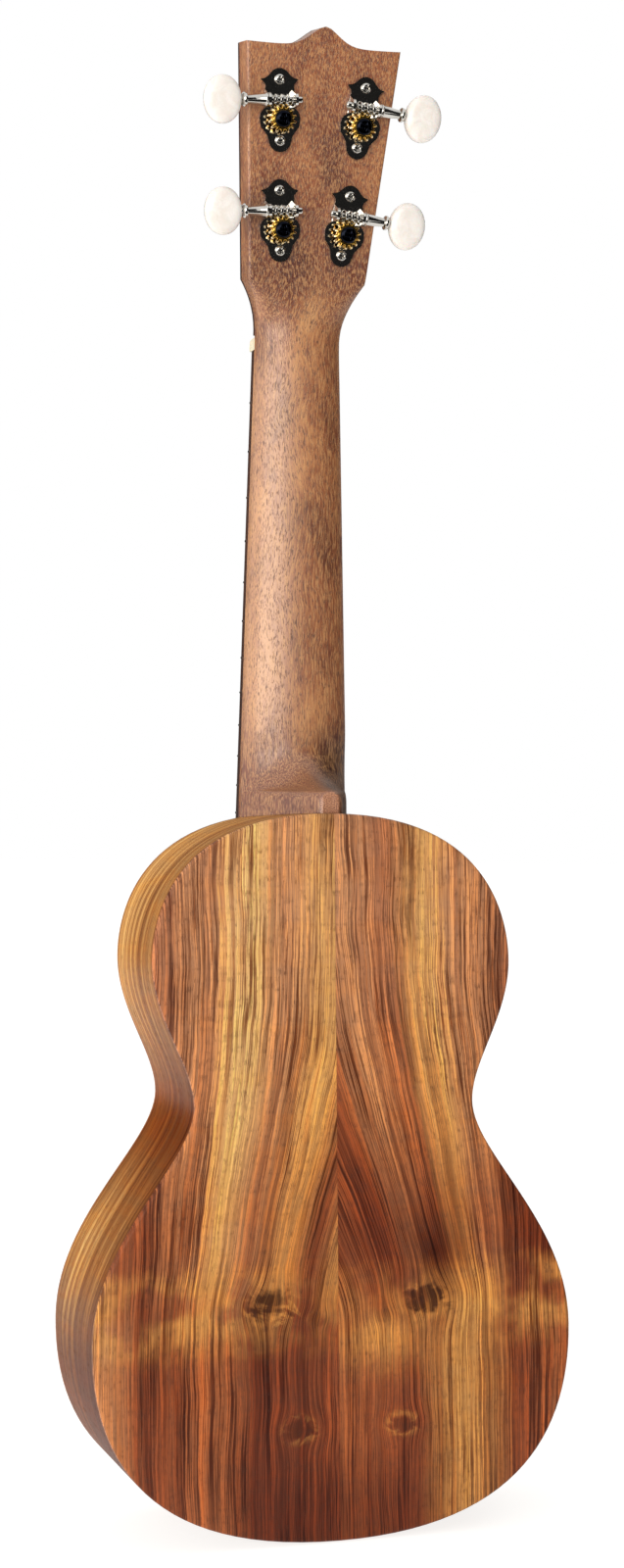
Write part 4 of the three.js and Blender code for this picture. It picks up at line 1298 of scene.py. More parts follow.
@dataclass
class Body:
    """The hollow figure-eight body.

    Attributes:
        marks: Places in the frame.
        plate: Thickness of the soundboard, back and sides.
        hole: Radius of the sound hole.
        hole_up: Height of its centre.
        back_round: Rounding of the back's edge.
        front_round: Rounding of the soundboard's edge.
        steps: Steps along each of the outline's four curves.
    """

    marks: Marks
    plate: float = 2.2
    hole: float = 28.0
    hole_up: float = 184.0
    back_round: float = 1.2
    front_round: float = 0.8
    steps: int = 28
    curves: tuple[tuple[tuple[float, float], ...], ...] = (
        ((0, 0), (75.3, 0), (97, 36.2), (97, 77.7)),
        ((97, 77.7), (97, 118.1), (56.9, 145.7), (56.9, 166.6)),
        ((56.9, 166.6), (56.9, 182.2), (73.2, 199.7), (73.2, 221.8)),
        ((73.2, 221.8), (73.2, 238.4), (65.4, 279.4), (0, 279.4)),
    )

    def half(self, inset: float) -> Plan:
        """Half of the outline from the tail to the neck, moved in.

        Args:
            inset: How far it is moved in.

        Returns:
            Points as x and z.
        """
        points: Plan = []
        for index, curve in enumerate(self.curves):
            a, b, c, d = (Vector(p) for p in curve)
            for i in range(1 if index else 0, self.steps + 1):
                t = i / self.steps
                at = a * (1 - t) ** 3 + b * 3 * t * (1 - t) ** 2 + c * 3 * t * t * (1 - t) + d * t**3
                slope = (b - a) * (1 - t) ** 2 + (c - b) * 2 * t * (1 - t) + (d - c) * t * t
                slope.normalize()
                points.append((at.x - inset * slope.y, at.y + inset * slope.x))
        points[0] = (0.0, points[0][1])
        points[-1] = (0.0, points[-1][1])
        return points

    def whole(self, inset: float) -> Plan:
        """The whole outline, moved in."""
        half = self.half(inset)
        return half + [(-x, z) for x, z in reversed(half)][1:-1]

    def back_form(self, side: int) -> Form:
        """One board of the back, with a rounded edge.

        Args:
            side: 1 for the left board, -1 for the right.

        Returns:
            Its form.
        """
        marks, round_off, seam = self.marks, self.back_round, 0.02
        inner = self.half(round_off)
        corner = [(round_off * (1 - math.sin(a)), round_off * (1 - math.cos(a))) for a in ROUNDING]
        edges = [(self.half(inset), drop) for inset, drop in corner]
        shares = [i / 5 for i in range(6)]
        rings: list[Ring] = []
        for j, (x, z) in enumerate(inner):
            ring = [Vector((max(x * s, seam), marks.back(z), z)) for s in shares]
            for outline, drop in edges[1:]:
                ring.append(Vector((max(outline[j][0], seam), marks.back(outline[j][1]) - drop, outline[j][1])))
            wide, level = edges[-1][0][j]
            for s in reversed(shares):
                ring.append(Vector((max(wide * s, seam), marks.back(level) - self.plate, level)))
            rings.append([Vector((side * p.x, p.y, p.z)) for p in ring])
        return Form().skin(rings)

    def side_form(self, side: int) -> Form:
        """One bent side.

        Args:
            side: 1 for the left side, -1 for the right.

        Returns:
            Its form.
        """
        outer, inner = self.half(0.0), self.half(self.plate)
        low = self.marks.front + self.plate
        rings: list[Ring] = []
        for (x0, z0), (x1, z1) in zip(outer, inner):
            high0, high1 = self.marks.back(z0) - self.plate, self.marks.back(z1) - self.plate
            ring = [Vector((side * x0, lerp(low, high0, s / 6), z0)) for s in range(7)]
            ring += [Vector((side * x1, lerp(high1, low, s / 2), z1)) for s in range(3)]
            rings.append(ring)
        return Form().skin(rings)

    def round_the_body(self) -> Callable[[Vector], tuple[float, float]]:
        """The chart of the sides: distance along the outline, and depth.

        Returns:
            The chart.
        """
        outline = self.half(0.0)
        way = [0.0]
        for (x0, z0), (x1, z1) in zip(outline, outline[1:]):
            way.append(way[-1] + math.hypot(x1 - x0, z1 - z0))

        def chart(point: Vector) -> tuple[float, float]:
            """Distance from the tail along the outline, and depth behind the soundboard."""
            nearest = min(
                range(len(outline)), key=lambda i: math.hypot(outline[i][0] - abs(point.x), outline[i][1] - point.z),
            )
            return way[nearest] * (1 if point.x > 0 else -1), point.y - self.marks.front

        return chart

    def soundboard_form(self) -> Form:
        """The soundboard with its hole and a rounded edge.

        Returns:
            Its form.
        """
        front, plate, r = self.marks.front, self.plate, self.front_round

        def level(loop: Iterable[tuple[float, float]], y: float) -> Ring:
            """A loop at a depth."""
            return [Vector((x, y, z)) for x, z in loop]

        edge = [level(self.whole(r * (1 - math.sin(a))), front + r * (1 - math.cos(a))) for a in ROUNDING]
        edge.append(level(self.whole(0.0), front + plate))
        lip = [(self.hole + 0.5, 0.0), (self.hole + 0.15, 0.15), (self.hole, 0.5), (self.hole, plate)]
        wall = [level(circle(radius, 96, 0.0, self.hole_up), front + drop) for radius, drop in lip]
        form = Form().skin(edge, Cap.OPEN, Cap.OPEN).skin(wall, Cap.OPEN, Cap.OPEN)
        return form.fill([edge[0], wall[0]]).fill([edge[-1], wall[-1]])

    def rosette_form(self, inner: float, outer: float) -> Form:
        """A thin ring let into the soundboard round the hole.

        Args:
            inner: Its inner radius.
            outer: Its outer radius.

        Returns:
            Its form.
        """
        loop = [
            (inner, 0.4), (inner, -0.04), (inner + 0.06, -0.1), (outer - 0.06, -0.1), (outer, -0.04), (outer, 0.4),
        ]
        form = Form().hoop(loop, 96)
        return form.moved(lambda p: Vector((p.x, self.marks.front + p.z, p.y + self.hole_up)))

    def build(self) -> list[Piece]:
        """The body's pieces, and finishes for the CAD nodes inside it.

        Returns:
            The pieces.
        """
        pieces = [Piece("top", self.soundboard_form(), KOA_TOP, stands_for=("soundboard",))]
        for name, side in (("left", 1), ("right", -1)):
            pieces.append(Piece(f"back_board_{name}", self.back_form(side), KOA_BACK, stands_for=(f"back_{name}",)))
            pieces.append(Piece(
                f"rib_{name}", self.side_form(side), KOA_SIDE, stands_for=(f"side_{name}",),
                chart=self.round_the_body(),
            ))
        pieces.append(Piece("rosette_outer", self.rosette_form(35.4, 36.2), INLAY))
        pieces.append(Piece("rosette_inner", self.rosette_form(31.2, 32.0), INLAY))
        pieces.append(Piece("rosette_band", self.rosette_form(32.0, 35.4), ROSEWOOD))
        inside = {MAHOGANY: ("neck_block", "tail_block"), SPRUCE: INSIDE_SPRUCE}
        for finish, nodes in inside.items():
            for node in nodes:
                dress_node(node, finish)
        return pieces


INLAY = ShellFinish("inlay", "pearl", "ded2b4", "c4b48c", 0.3, 1.0, 0.4, 0.2)
INSIDE_SPRUCE = (
    "top_lining_left", "top_lining_right", "back_lining_left", "back_lining_right",
    "top_brace", "back_brace_upper", "back_brace_lower",
)


def dress_node(node: str, finish: Finish) -> None:
    """Gives a CAD node that stays in view a detailed finish.

    Args:
        node: The node.
        finish: Its finish.
    """
    target = frame["nodes"][node]
    if not target.material_slots:
        target.data.materials.append(None)
    for held in target.material_slots:
        held.material = finish.material()
    LOG.info("%s keeps its CAD shape in %s", node, finish.name)


# ------------------------------------------------------------------------------ neck


@dataclass
class Neck:
    """The carved neck with its heel and headstock in one piece.

    Attributes:
        marks: Places in the frame.
        half_nut: Half width at the nut.
        half_body: Half width at the neck joint.
        depth_nut: Depth at the nut.
        depth_body: Depth over the heel.
        wall: Height of the square edge by the fingerboard.
        heel_depth: Depth of the heel.
        heel_rise: Height where the heel has run out.
        cap_half: Half width of the heel's flat cap.
        cap_rise: Height of the cap.
        wood: Thickness of the head.
        corner: Height of the head's lower corners.
        corner_half: Half width there.
        edge_top: Height of the head's upper corners.
        top_half: Half width there.
        crest: Height of the middle peak over the corners.
        lean: How far the head's outline is out of square.
        hollow: Reach of the hollow behind the nut.
        steps: Points across one section.
    """

    marks: Marks
    half_nut: float = 17.75
    half_body: float = 22.7
    depth_nut: float = 13.0
    depth_body: float = 16.2
    wall: float = 2.4
    heel_depth: float = 51.4
    heel_rise: float = 28.0
    cap_half: float = 4.1
    cap_rise: float = 8.8
    wood: float = 11.0
    corner: float = 26.35
    corner_half: float = 24.9
    edge_top: float = 119.2
    top_half: float = 32.45
    crest: float = 7.9
    lean: float = 0.028
    hollow: float = 4.0
    steps: int = 44

    def head_half(self, y: float) -> float:
        """Half width of the head at a height above the nut."""
        if y < self.corner:
            t = max(y - 2, 0.0) / (self.corner - 2)
            return self.half_nut + (self.corner_half - self.half_nut) * t**2.2
        return lerp(self.corner_half, self.top_half, (y - self.corner) / (self.edge_top - self.corner))

    def crown(self, x: float) -> float:
        """Height of the head's top edge."""
        peak = self.crest * math.exp(-((abs(x) / 8) ** 1.8))
        return self.edge_top + peak + 0.3 * (x / self.top_half) ** 4

    def leaned(self, x: float, y: float) -> float:
        """The height with the outline's lean."""
        return y + self.lean * x * smooth(y, 4, self.corner)

    def half_at(self, z: float) -> float:
        """Half width of the neck at a height."""
        return lerp(self.half_body, self.half_nut, (z - self.marks.body_top) / (self.marks.nut - self.marks.body_top))

    def rear(self, z: float) -> float:
        """Depth behind the soundboard plane on the centre line."""
        share = (z - self.marks.body_top) / (self.marks.nut - self.marks.body_top)
        on_neck = lerp(self.depth_body, self.depth_nut, share)
        on_head = HEAD_REAR + (z - self.marks.nut) * math.tan(self.marks.tilt)
        near = max(self.hollow - abs(on_neck - on_head), 0.0)
        return max(on_neck, on_head) + near**2 / (4 * self.hollow)

    def heel(self, rise: float) -> float:
        """Depth of the heel on the centre line over the height above the joint."""
        under = self.rear(self.marks.body_top + rise)
        if rise >= self.heel_rise:
            return under
        if rise <= self.cap_rise:
            return self.heel_depth
        t = (rise - self.cap_rise) / (self.heel_rise - self.cap_rise)
        return lerp(self.heel_depth, under, math.sqrt(max(1 - (1 - t) ** 2.2, 0.0)))

    def ring(
        self, half: float, front: Callable[[float], Vector], rear: Callable[[float], Vector],
        wall: float, flat: float, power: float,
    ) -> Ring:
        """One section: the flat front from -x to +x, then the round rear back again.

        Args:
            half: Half width.
            front: Front point over x.
            rear: Deepest rear point over x.
            wall: Share of the depth that the edges keep.
            flat: Share of the width that is flat at full depth.
            power: Fullness of the curve, 2 for an ellipse.

        Returns:
            The ring.
        """
        across = [math.sin((i / self.steps - 0.5) * math.pi) for i in range(self.steps + 1)]
        points = [front(u * half) for u in across]
        for u in reversed(across):
            out = max(abs(u) - flat, 0.0) / (1 - flat)
            share = wall + (1 - wall) * max(1 - out**power, 0.0) ** (1 / power)
            points.append(front(u * half).lerp(rear(u * half), share))
        return points

    def cap_width(self, rise: float) -> float:
        """Half width of the heel's flat, round at its upper end."""
        straight = self.cap_rise - self.cap_half
        if rise <= straight:
            return self.cap_half
        gone = min((rise - straight) / self.cap_half, 1.0)
        return self.cap_half * max(math.sqrt(1 - gone * gone), 0.1)

    def neck_section(self, rise: float, shoulder: Optional[Callable[[float], float]] = None) -> Ring:
        """A level section of the neck.

        Args:
            rise: Height over the neck joint.
            shoulder: Gives the height over x where the section follows the body.

        Returns:
            Its ring.
        """
        z, front = self.marks.body_top + rise, self.marks.front
        width, depth = self.half_at(z), self.heel(rise)
        fullness = 1 - smooth(rise, self.cap_rise, self.heel_rise + 8)

        def level(x: float) -> float:
            """Height at x."""
            return shoulder(x) if shoulder else z

        return self.ring(
            width, lambda x: Vector((x, front, level(x))), lambda x: Vector((x, front + depth, level(x))),
            self.wall / depth, fullness * self.cap_width(rise) / width, lerp(2.15, 1.12, fullness),
        )

    def bend_section(self, turn: float) -> Ring:
        """A section that fans from level to square with the head.

        Args:
            turn: 0 on the neck, 1 at the foot of the head.

        Returns:
            Its ring.
        """
        marks = self.marks
        s, c = math.sin(marks.tilt), math.cos(marks.tilt)
        kink = (self.wood * c - HEAD_REAR) / s
        z = lerp(marks.nut - 20, marks.nut + kink * c + self.wood * s, turn)
        angle, depth = marks.tilt * turn, self.rear(z)
        for _ in range(12):
            depth = self.rear(z - depth * math.sin(angle)) / math.cos(angle)
        back = Vector((0, depth * math.cos(angle), -depth * math.sin(angle)))
        return self.ring(
            max(self.half_at(z), self.half_nut), lambda x: Vector((x, marks.front, z)),
            lambda x: Vector((x, marks.front, z)) + back, self.wall / depth, 0.0, 2.15,
        )

    def head_section(self, rise: float) -> Ring:
        """A section across the head.

        Args:
            rise: Height over the nut.

        Returns:
            Its ring.
        """
        climb = max(rise - self.corner, 0.0) / (self.edge_top - self.corner)
        square = smooth(rise, 6, self.corner + 4)

        def height(x: float) -> float:
            """Height at x, following the crown further up."""
            return rise if rise <= self.corner else lerp(self.corner, self.crown(x), climb)

        def at(x: float, z: float) -> Vector:
            """The point at x and a height over the rear face."""
            return self.marks.head(-x, self.leaned(-x, height(x)), z)

        middle = self.marks.head(0, rise, 0)
        fill = max(self.rear(middle.z) - (middle.y - self.marks.front), 0.0) * math.cos(self.marks.tilt)
        return self.ring(
            self.head_half(height(self.top_half)), lambda x: at(x, -self.wood), lambda x: at(x, fill),
            lerp(self.wall / 13, 0.93, square), lerp(0.0, 0.965, square), lerp(2.15, 2.0, square),
        )

    def form(self, shoulder: Callable[[float], float]) -> Form:
        """The carved neck.

        Args:
            shoulder: Height of the body's outline over x.

        Returns:
            Its form.
        """
        cap = [self.cap_rise - self.cap_half * (1 - math.sin(a)) for a in (0.0, 0.4, 0.75, 1.05, 1.3, 1.5)]
        rises = [3.0, *cap, 9.1, 9.8, 10.8, 12.2, 14, 16, 18.5, 21, 24, 27, 30, 33, 36, 44, 60, 80, 105, 130, 150]
        rings = [self.neck_section(0.0, shoulder)]
        rings += [self.neck_section(rise) for rise in rises if self.marks.nut - 20 > self.marks.body_top + rise]
        rings += [self.bend_section(turn) for turn in (0.0, 0.15, 0.3, 0.45, 0.6, 0.75, 0.88, 1.0)]
        heights = [
            5.5, 8, 10.5, 13, 15, 17, 19, 20.5, 22, 23.5, 25, self.corner, 27.6, 29, 31, 45, 70, 95, 117,
            self.edge_top,
        ]
        rings += [self.head_section(rise) for rise in heights]
        return Form().skin(rings, Cap.STRIPS, Cap.STRIPS)

    def headplate_form(self) -> Form:
        """The thin plate on the front of the head.

        Returns:
            Its form.
        """
        rises = [3.4, 6, 9, 12, 15, 17, 19, 21, 23, 24.5, self.corner, 60, 90, self.edge_top]
        plan = [(self.head_half(y), y) for y in rises]
        plan += [(x, self.crown(x)) for x in (self.top_half * math.cos(i / 48 * math.pi) for i in range(1, 48))]
        plan += [(-self.head_half(y), y) for y in reversed(rises)]
        outline = [(x, self.leaned(x, y)) for x, y in plan]
        rear = -self.wood - 0.05
        form = Form().prism(outline, rear - 2.05, rear)
        return form.moved(lambda p: self.marks.head(p.x, p.y, p.z))

    def build(self, shoulder: Callable[[float], float]) -> list[Piece]:
        """The neck and the headplate.

        Args:
            shoulder: Height of the body's outline over x.

        Returns:
            The pieces.
        """
        return [
            Piece("carved_neck", self.form(shoulder), NECK_WOOD, stands_for=("neck",), bevel=0.35, crease=32),
            Piece("head_veneer", self.headplate_form(), ROSEWOOD, stands_for=("headplate",), bevel=0.3),
        ]


@dataclass
class Fingerboard:
    """The fingerboard with its frets, dots and nut.

    Attributes:
        marks: Places in the frame.
        neck: The neck it lies on.
        frets: Number of frets.
        thick: Thickness of the board. It is not used.
        overhang: Length of the board past the last fret.
        dots: Frets with a position dot, and how many.
    """

    marks: Marks
    neck: Neck
    frets: int = 17
    thick: float = 4.2
    overhang: float = 4.0
    dots: tuple[tuple[int, int], ...] = ((5, 1), (7, 1), (10, 1), (12, 2), (15, 1))

    def board_form(self) -> Form:
        """The board with softened edges.

        Returns:
            Its form.
        """
        face = self.marks.front - 0.05
        rings: list[Ring] = []
        for z in (
            self.marks.fret(self.frets) - self.overhang, *(self.marks.fret(n) for n in (12, 5)), self.marks.nut - 0.1,
        ):
            w = self.neck.half_at(z)
            section = [
                (-w, 0.0), (-w, -3.7), (-w + 0.2, -4.1), (-w + 0.7, -4.4), (w - 0.7, -4.4), (w - 0.2, -4.1),
                (w, -3.7), (w, 0.0),
            ]
            rings.append([Vector((x, face + y, z)) for x, y in section])
        return Form().skin(rings)

    def fret_form(self, n: int) -> Form:
        """A fret wire: a round crown on a tang whose ends show at the board's edges.

        Args:
            n: Its number.

        Returns:
            Its form.
        """
        z, top = self.marks.fret(n), self.marks.front - 4.4
        w = self.neck.half_at(z)
        crown = [(math.sin(a), 0.95 * math.cos(a)) for a in (-1.57, -1.1, -0.7, -0.35, 0.0, 0.35, 0.7, 1.1, 1.57)]
        rings = []
        for x, size in (
            (-w + 0.1, 0.4), (-w + 0.5, 0.85), (-w + 1.0, 1.0), (w - 1.0, 1.0), (w - 0.5, 0.85), (w - 0.1, 0.4),
        ):
            ring = [Vector((x, top - rise * size, z + side * size)) for side, rise in crown]
            rings.append(ring + [Vector((x, top + 0.1, z + size)), Vector((x, top + 0.1, z - size))])
        tang = Form().prism([(-0.32, 0.0), (0.32, 0.0), (0.32, 1.9), (-0.32, 1.9)], -w - 0.06, w + 0.06)
        return Form().skin(rings).plus(tang.moved(lambda p: Vector((p.z, top + p.y, z + p.x))))

    def dot_form(self, n: int, x: float) -> Form:
        """A pearl dot between two frets.

        Args:
            n: The fret above it.
            x: Its place across the board.

        Returns:
            Its form.
        """
        z = (self.marks.fret(n) + self.marks.fret(n - 1)) / 2
        face = self.marks.front - 4.45
        form = Form().turned([(0, 0.6), (3.0, 0.6), (3.0, 0.02), (2.9, -0.04), (0, -0.05)], 40)
        return form.moved(lambda p: Vector((x + p.x, face + p.z, z + p.y)))

    def nut_form(self) -> Form:
        """The nut, its top rounded towards the strings.

        Returns:
            Its form.
        """
        face, base, w = self.marks.front, self.marks.nut, self.neck.half_nut + 0.1
        section = [(0.0, 0.05), (0.0, 6.6), (0.5, 7.1), (1.6, 7.3), (3.4, 6.9), (4.6, 6.0), (5.0, 5.2), (5.0, 0.05)]
        rings = [
            [Vector((x, face - h * s, base + z)) for z, h in section]
            for x, s in ((-w, 0.97), (-w + 0.5, 1), (w - 0.5, 1), (w, 0.97))
        ]
        return Form().skin(rings)

    def build(self) -> list[Piece]:
        """The board, its frets, dots and nut.

        Returns:
            The pieces.
        """
        pieces = [
            Piece("board", self.board_form(), ROSEWOOD, stands_for=("fingerboard",), crease=50),
            Piece("bone_nut", self.nut_form(), BONE, stands_for=("nut",), bevel=0.25),
        ]
        wires = self.fret_form(1).plus(*(self.fret_form(n) for n in range(2, self.frets + 1)))
        pieces.append(Piece("fret_wires", wires, NICKEL, crease=50))
        spots = [(n, x) for n, count in self.dots for x in ((0.0,) if count == 1 else (-8.5, 8.5))]
        dots = self.dot_form(*spots[0]).plus(*(self.dot_form(n, x) for n, x in spots[1:]))
        pieces.append(Piece("position_dots", dots, PEARL, crease=50))
        return pieces


# ------------------------------------------------------------------------------ bridge and strings


@dataclass(frozen=True)
class Course:
    """One string.

    Attributes:
        name: Its note.
        nut_x: Place at the nut, as seen from behind.
        saddle_x: Place at the saddle.
        radius: Its radius.
    """

    name: str
    nut_x: float
    saddle_x: float
    radius: float


COURSES = (
    Course("g", 13.4, 20.0, 0.3), Course("c", 4.5, 6.7, 0.42),
    Course("e", -4.5, -6.7, 0.36), Course("a", -13.4, -20.0, 0.28),
)


@dataclass
class Bridge:
    """The tie bridge with its saddle.

    Attributes:
        marks: Places in the frame.
        half: Half width over the wings.
        block: Half width of the raised middle.
        wing: Height of the wings.
        top: Height of the middle.
    """

    marks: Marks
    half: float = 46.0
    block: float = 30.0
    wing: float = 3.0
    top: float = 7.4

    def form(self) -> Form:
        """The bridge: wings, tie block and saddle block.

        Returns:
            Its form.
        """
        stations = [
            (-self.half, 0.55), (-self.half + 1.6, 0.92), (-self.half + 4, 1), (-self.block - 3, 1), (-self.block, 1),
        ]
        stations += [(-x, share) for x, share in reversed(stations)]

        def bar(low: float, high: float, tall: bool) -> Form:
            """One bar along x between two heights up the soundboard."""
            rings: list[Ring] = []
            for x, share in stations:
                inside = abs(x) <= self.block
                if tall and abs(x) > self.block + 3.01:
                    continue
                rise = self.top if tall and inside else self.wing * share
                middle, reach = (low + high) / 2, (high - low) / 2 * (share if not tall else 1)
                section = [
                    (-reach, 0.05), (-reach, rise - 0.6), (-reach + 0.6, rise), (reach - 0.6, rise),
                    (reach, rise - 0.6), (reach, 0.05),
                ]
                rings.append([Vector((x, self.marks.front - h, self.marks.saddle + middle + z)) for z, h in section])
            return Form().skin(rings)

        return bar(-11.4, 10.0, False).plus(bar(-11.4, -6.6, True), bar(-4.6, 10.0, True))

    def saddle_form(self) -> Form:
        """The bone saddle with a round crown.

        Returns:
            Its form.
        """
        crest, half = 10.48, 27.0
        crown = [
            (1.3 * math.sin(a), crest - 1.3 + 1.3 * math.cos(a)) for a in (-1.57, -0.9, -0.45, 0, 0.45, 0.9, 1.57)
        ]
        section = [(-1.3, 4.5), *crown, (1.3, 4.5)]
        ends = ((-half, 0.93), (-half + 0.8, 1.0), (half - 0.8, 1.0), (half, 0.93))
        rings = [[Vector((x, self.marks.front - h * s, self.marks.saddle + z)) for z, h in section] for x, s in ends]
        return Form().skin(rings)

    def build(self) -> list[Piece]:
        """The bridge and the saddle.

        Returns:
            The pieces.
        """
        return [
            Piece("tie_bridge", self.form(), ROSEWOOD, stands_for=("bridge",), bevel=0.3),
            Piece("bone_saddle", self.saddle_form(), BONE, stands_for=("saddle",), bevel=0.2, crease=50),
        ]


# ------------------------------------------------------------------------------ tuning machines


@dataclass
class Machine:
    """One open-gear tuning machine, placed by its two joints.

    In its own frame x runs out along the worm, y up the plate and z out of the head's rear.

    Attributes:
        course: Its string.
        centres: Gear axis to worm axis.
        worm_up: Worm axis over the head's rear face.
        teeth: Teeth of the gear.
        pitch_r: Pitch radius of the gear.
        face: The headplate's front in z.
        post_r: Radius of the post's waist.
        screw_ups: Y of the plate's screws.
        origin: Foot of the post's axis on the rear face, in the frame of the part.
        axes: The machine's axes in the frame of the part.
    """

    course: Course
    centres: float = 7.4
    worm_up: float = 4.8
    teeth: int = 14
    pitch_r: float = 5.5
    face: float = -13.1
    post_r: float = 2.4
    screw_ups: dict[str, float] = field(default_factory=lambda: {"top": 15.4, "low": -8.3})
    origin: Vector = field(init=False)
    axes: Matrix = field(init=False)

    def __post_init__(self) -> None:
        """Reads the machine's place from its joints."""
        joints = {j["name"]: j for j in frame["joints"]}
        worm, post = joints[f"worm_{self.course.name}_spin"], joints[f"post_{self.course.name}_spin"]
        out, rear = Vector(worm["axis"]), Vector(post["axis"])
        up = (Vector(worm["pos_m"]) - Vector(post["pos_m"])).normalized()
        self.axes = Matrix((out, up, rear)).transposed()
        self.origin = Vector(post["pos_m"]) / MM - rear * self.worm_up

    def put(self, form: Form) -> Form:
        """A form moved from the machine's frame to that of the part."""
        return form.moved(lambda p: self.origin + self.axes @ p)

    def along_worm(self, form: Form) -> Form:
        """A form made along z, laid along the worm."""
        return form.moved(lambda p: Vector((p.z, self.centres + p.x, self.worm_up + p.y)))

    def plate_outline(self) -> Plan:
        """Plan of the base plate: arched top with two horns, a waist, and lobes beside the gear.

        Returns:
            The outline's points.
        """
        right = [(4.7 * math.cos(a), -8.1 + 4.7 * math.sin(a)) for a in (-1.57, -1.2, -0.9, -0.6, -0.35, -0.12)]
        right += [
            (5.2, -6.6), (6.1, -5.2), (7.1, -4.0), (7.9, -3.2), (8.3, -1.6), (8.5, 0.4), (8.2, 2.0), (7.5, 3.3),
            (6.3, 4.3),
        ]
        right += [
            (6.1, 11.7), (5.9, 12.7), (6.2, 13.7), (6.9, 14.6), (7.8, 15.3), (7.3, 15.7), (6.2, 15.9), (5.0, 16.6),
        ]
        right += [(4.0, 17.6), (3.0, 18.7), (1.9, 19.4), (0.8, 19.8)]
        return right + [(-x, y) for x, y in reversed(right)]

    def plate_form(self) -> Form:
        """The base plate with its two upright ears.

        Returns:
            Its form.
        """
        holes = [circle(3.3, 28), *(circle(1.3, 16, 0, up) for up in self.screw_ups.values())]
        form = Form().prism(self.plate_outline(), 0.3, 1.5, holes)
        top = 7.6 - self.worm_up
        arc = [
            (self.centres + top * math.cos(a), self.worm_up + top * math.sin(a))
            for a in (i * math.pi / 12 for i in range(13))
        ]
        ear = [(4.6, 0.4), (11.4, 0.4), (11.2, 2.2), *arc, (4.65, 2.2)]
        bore = circle(1.75, 24, self.centres, self.worm_up)
        for low, high in ((4.95, 6.1), (-6.1, -4.95)):
            tab = Form().prism(ear, low, high, [bore])
            form = form.plus(tab.moved(lambda p: Vector((p.z, p.x, p.y))))
        return form

    def worm_form(self) -> Form:
        """The shaft with its collar, and the worm's round thread.

        Returns:
            Its form.
        """
        shaft = Form().turned([
            (0, -8.4), (1.1, -8.4), (1.45, -8.1), (1.5, -7.6), (1.5, -5.0), (1.2, -4.9), (1.2, 4.9), (1.5, 5.0), (1.5, 6.2),
            (2.7, 6.2), (2.9, 6.4), (2.9, 6.95), (2.6, 7.2), (2.45, 7.5), (1.75, 14.2), (1.75, 14.5), (2.3, 14.8), (2.75, 15.0),
            (2.9, 15.2), (2.9, 15.9), (2.75, 16.15), (2.3, 16.7), (1.3, 16.9), (1.3, 21.8), (0, 21.8),
        ], 40)
        pitch = 2 * math.pi * self.pitch_r / self.teeth
        steps, length = 40, 4.3
        rings: list[Ring] = []
        for i in range(97):
            x = lerp(-length, length, i / 96)
            ease = min((length - abs(x)) / 0.5, 1.0)
            ring = []
            for k in range(steps):
                angle = 2 * math.pi * k / steps
                wave = 0.5 + 0.5 * math.cos(2 * math.pi * (x / pitch - angle / (2 * math.pi)))
                radius = 1.15 + ease * 1.15 * smooth(wave, 0.12, 0.8)
                ring.append(polar(radius, angle, x))
            rings.append(ring)
        return self.along_worm(shaft.plus(Form().skin(rings)))

    def gear_form(self) -> Form:
        """The toothed wheel: a raised hub and sloping, rounded teeth.

        Returns:
            Its form.
        """
        profile = [
            (-0.5, 0.0), (-0.34, 0.04), (-0.27, 0.3), (-0.19, 0.85), (-0.1, 1.0), (0.1, 1.0), (0.19, 0.85),
            (0.27, 0.3), (0.34, 0.04),
        ]
        pitch = 2 * math.pi * self.pitch_r / self.teeth
        lead = pitch / (2 * math.pi * (self.centres - self.pitch_r))
        rings: list[Ring] = []
        levels = [
            (3.5, 3.4, 5.0), (3.5, 4.4, 5.55), (3.85, 4.5, 5.92), (5.2, 4.5, 5.92), (5.75, 4.35, 5.5),
            (6.0, 4.2, 4.6), (6.15, 3.9, 4.0),
        ]
        for z, root, tip in levels:
            twist = (z - self.worm_up) * lead / self.pitch_r
            ring = []
            for tooth in range(self.teeth):
                for share, out in profile:
                    angle = math.pi / 2 + twist + (tooth + share) * 2 * math.pi / self.teeth
                    ring.append(polar(lerp(root, tip, out), angle, z))
            rings.append(ring)
        return Form().skin(rings)

    def post_form(self) -> Form:
        """The string post with its waist.

        Returns:
            Its form.
        """
        face = self.face
        return Form().turned([
            (0, -25.2), (2.2, -25.2), (2.8, -24.9), (3.0, -24.4), (3.0, -23.2), (2.85, -22.7), (2.5, -22.3), (self.post_r, -21.8),
            (self.post_r, face - 2.6), (2.55, face - 2.2), (2.9, face - 1.8), (3.0, face - 1.4), (3.0, 3.2), (0, 3.2),
        ], 40)

    def bushing_form(self) -> Form:
        """The pressed bushing round the post on the head's front.

        Returns:
            Its form.
        """
        rim = self.face
        return Form().hoop([
            (3.25, -6.0), (3.25, rim - 1.2), (3.5, rim - 1.45), (4.2, rim - 1.5), (5.0, rim - 1.2),
            (5.4, rim - 0.6), (5.4, rim - 0.05), (4.2, rim - 0.05), (4.2, -6.0),
        ], 44)

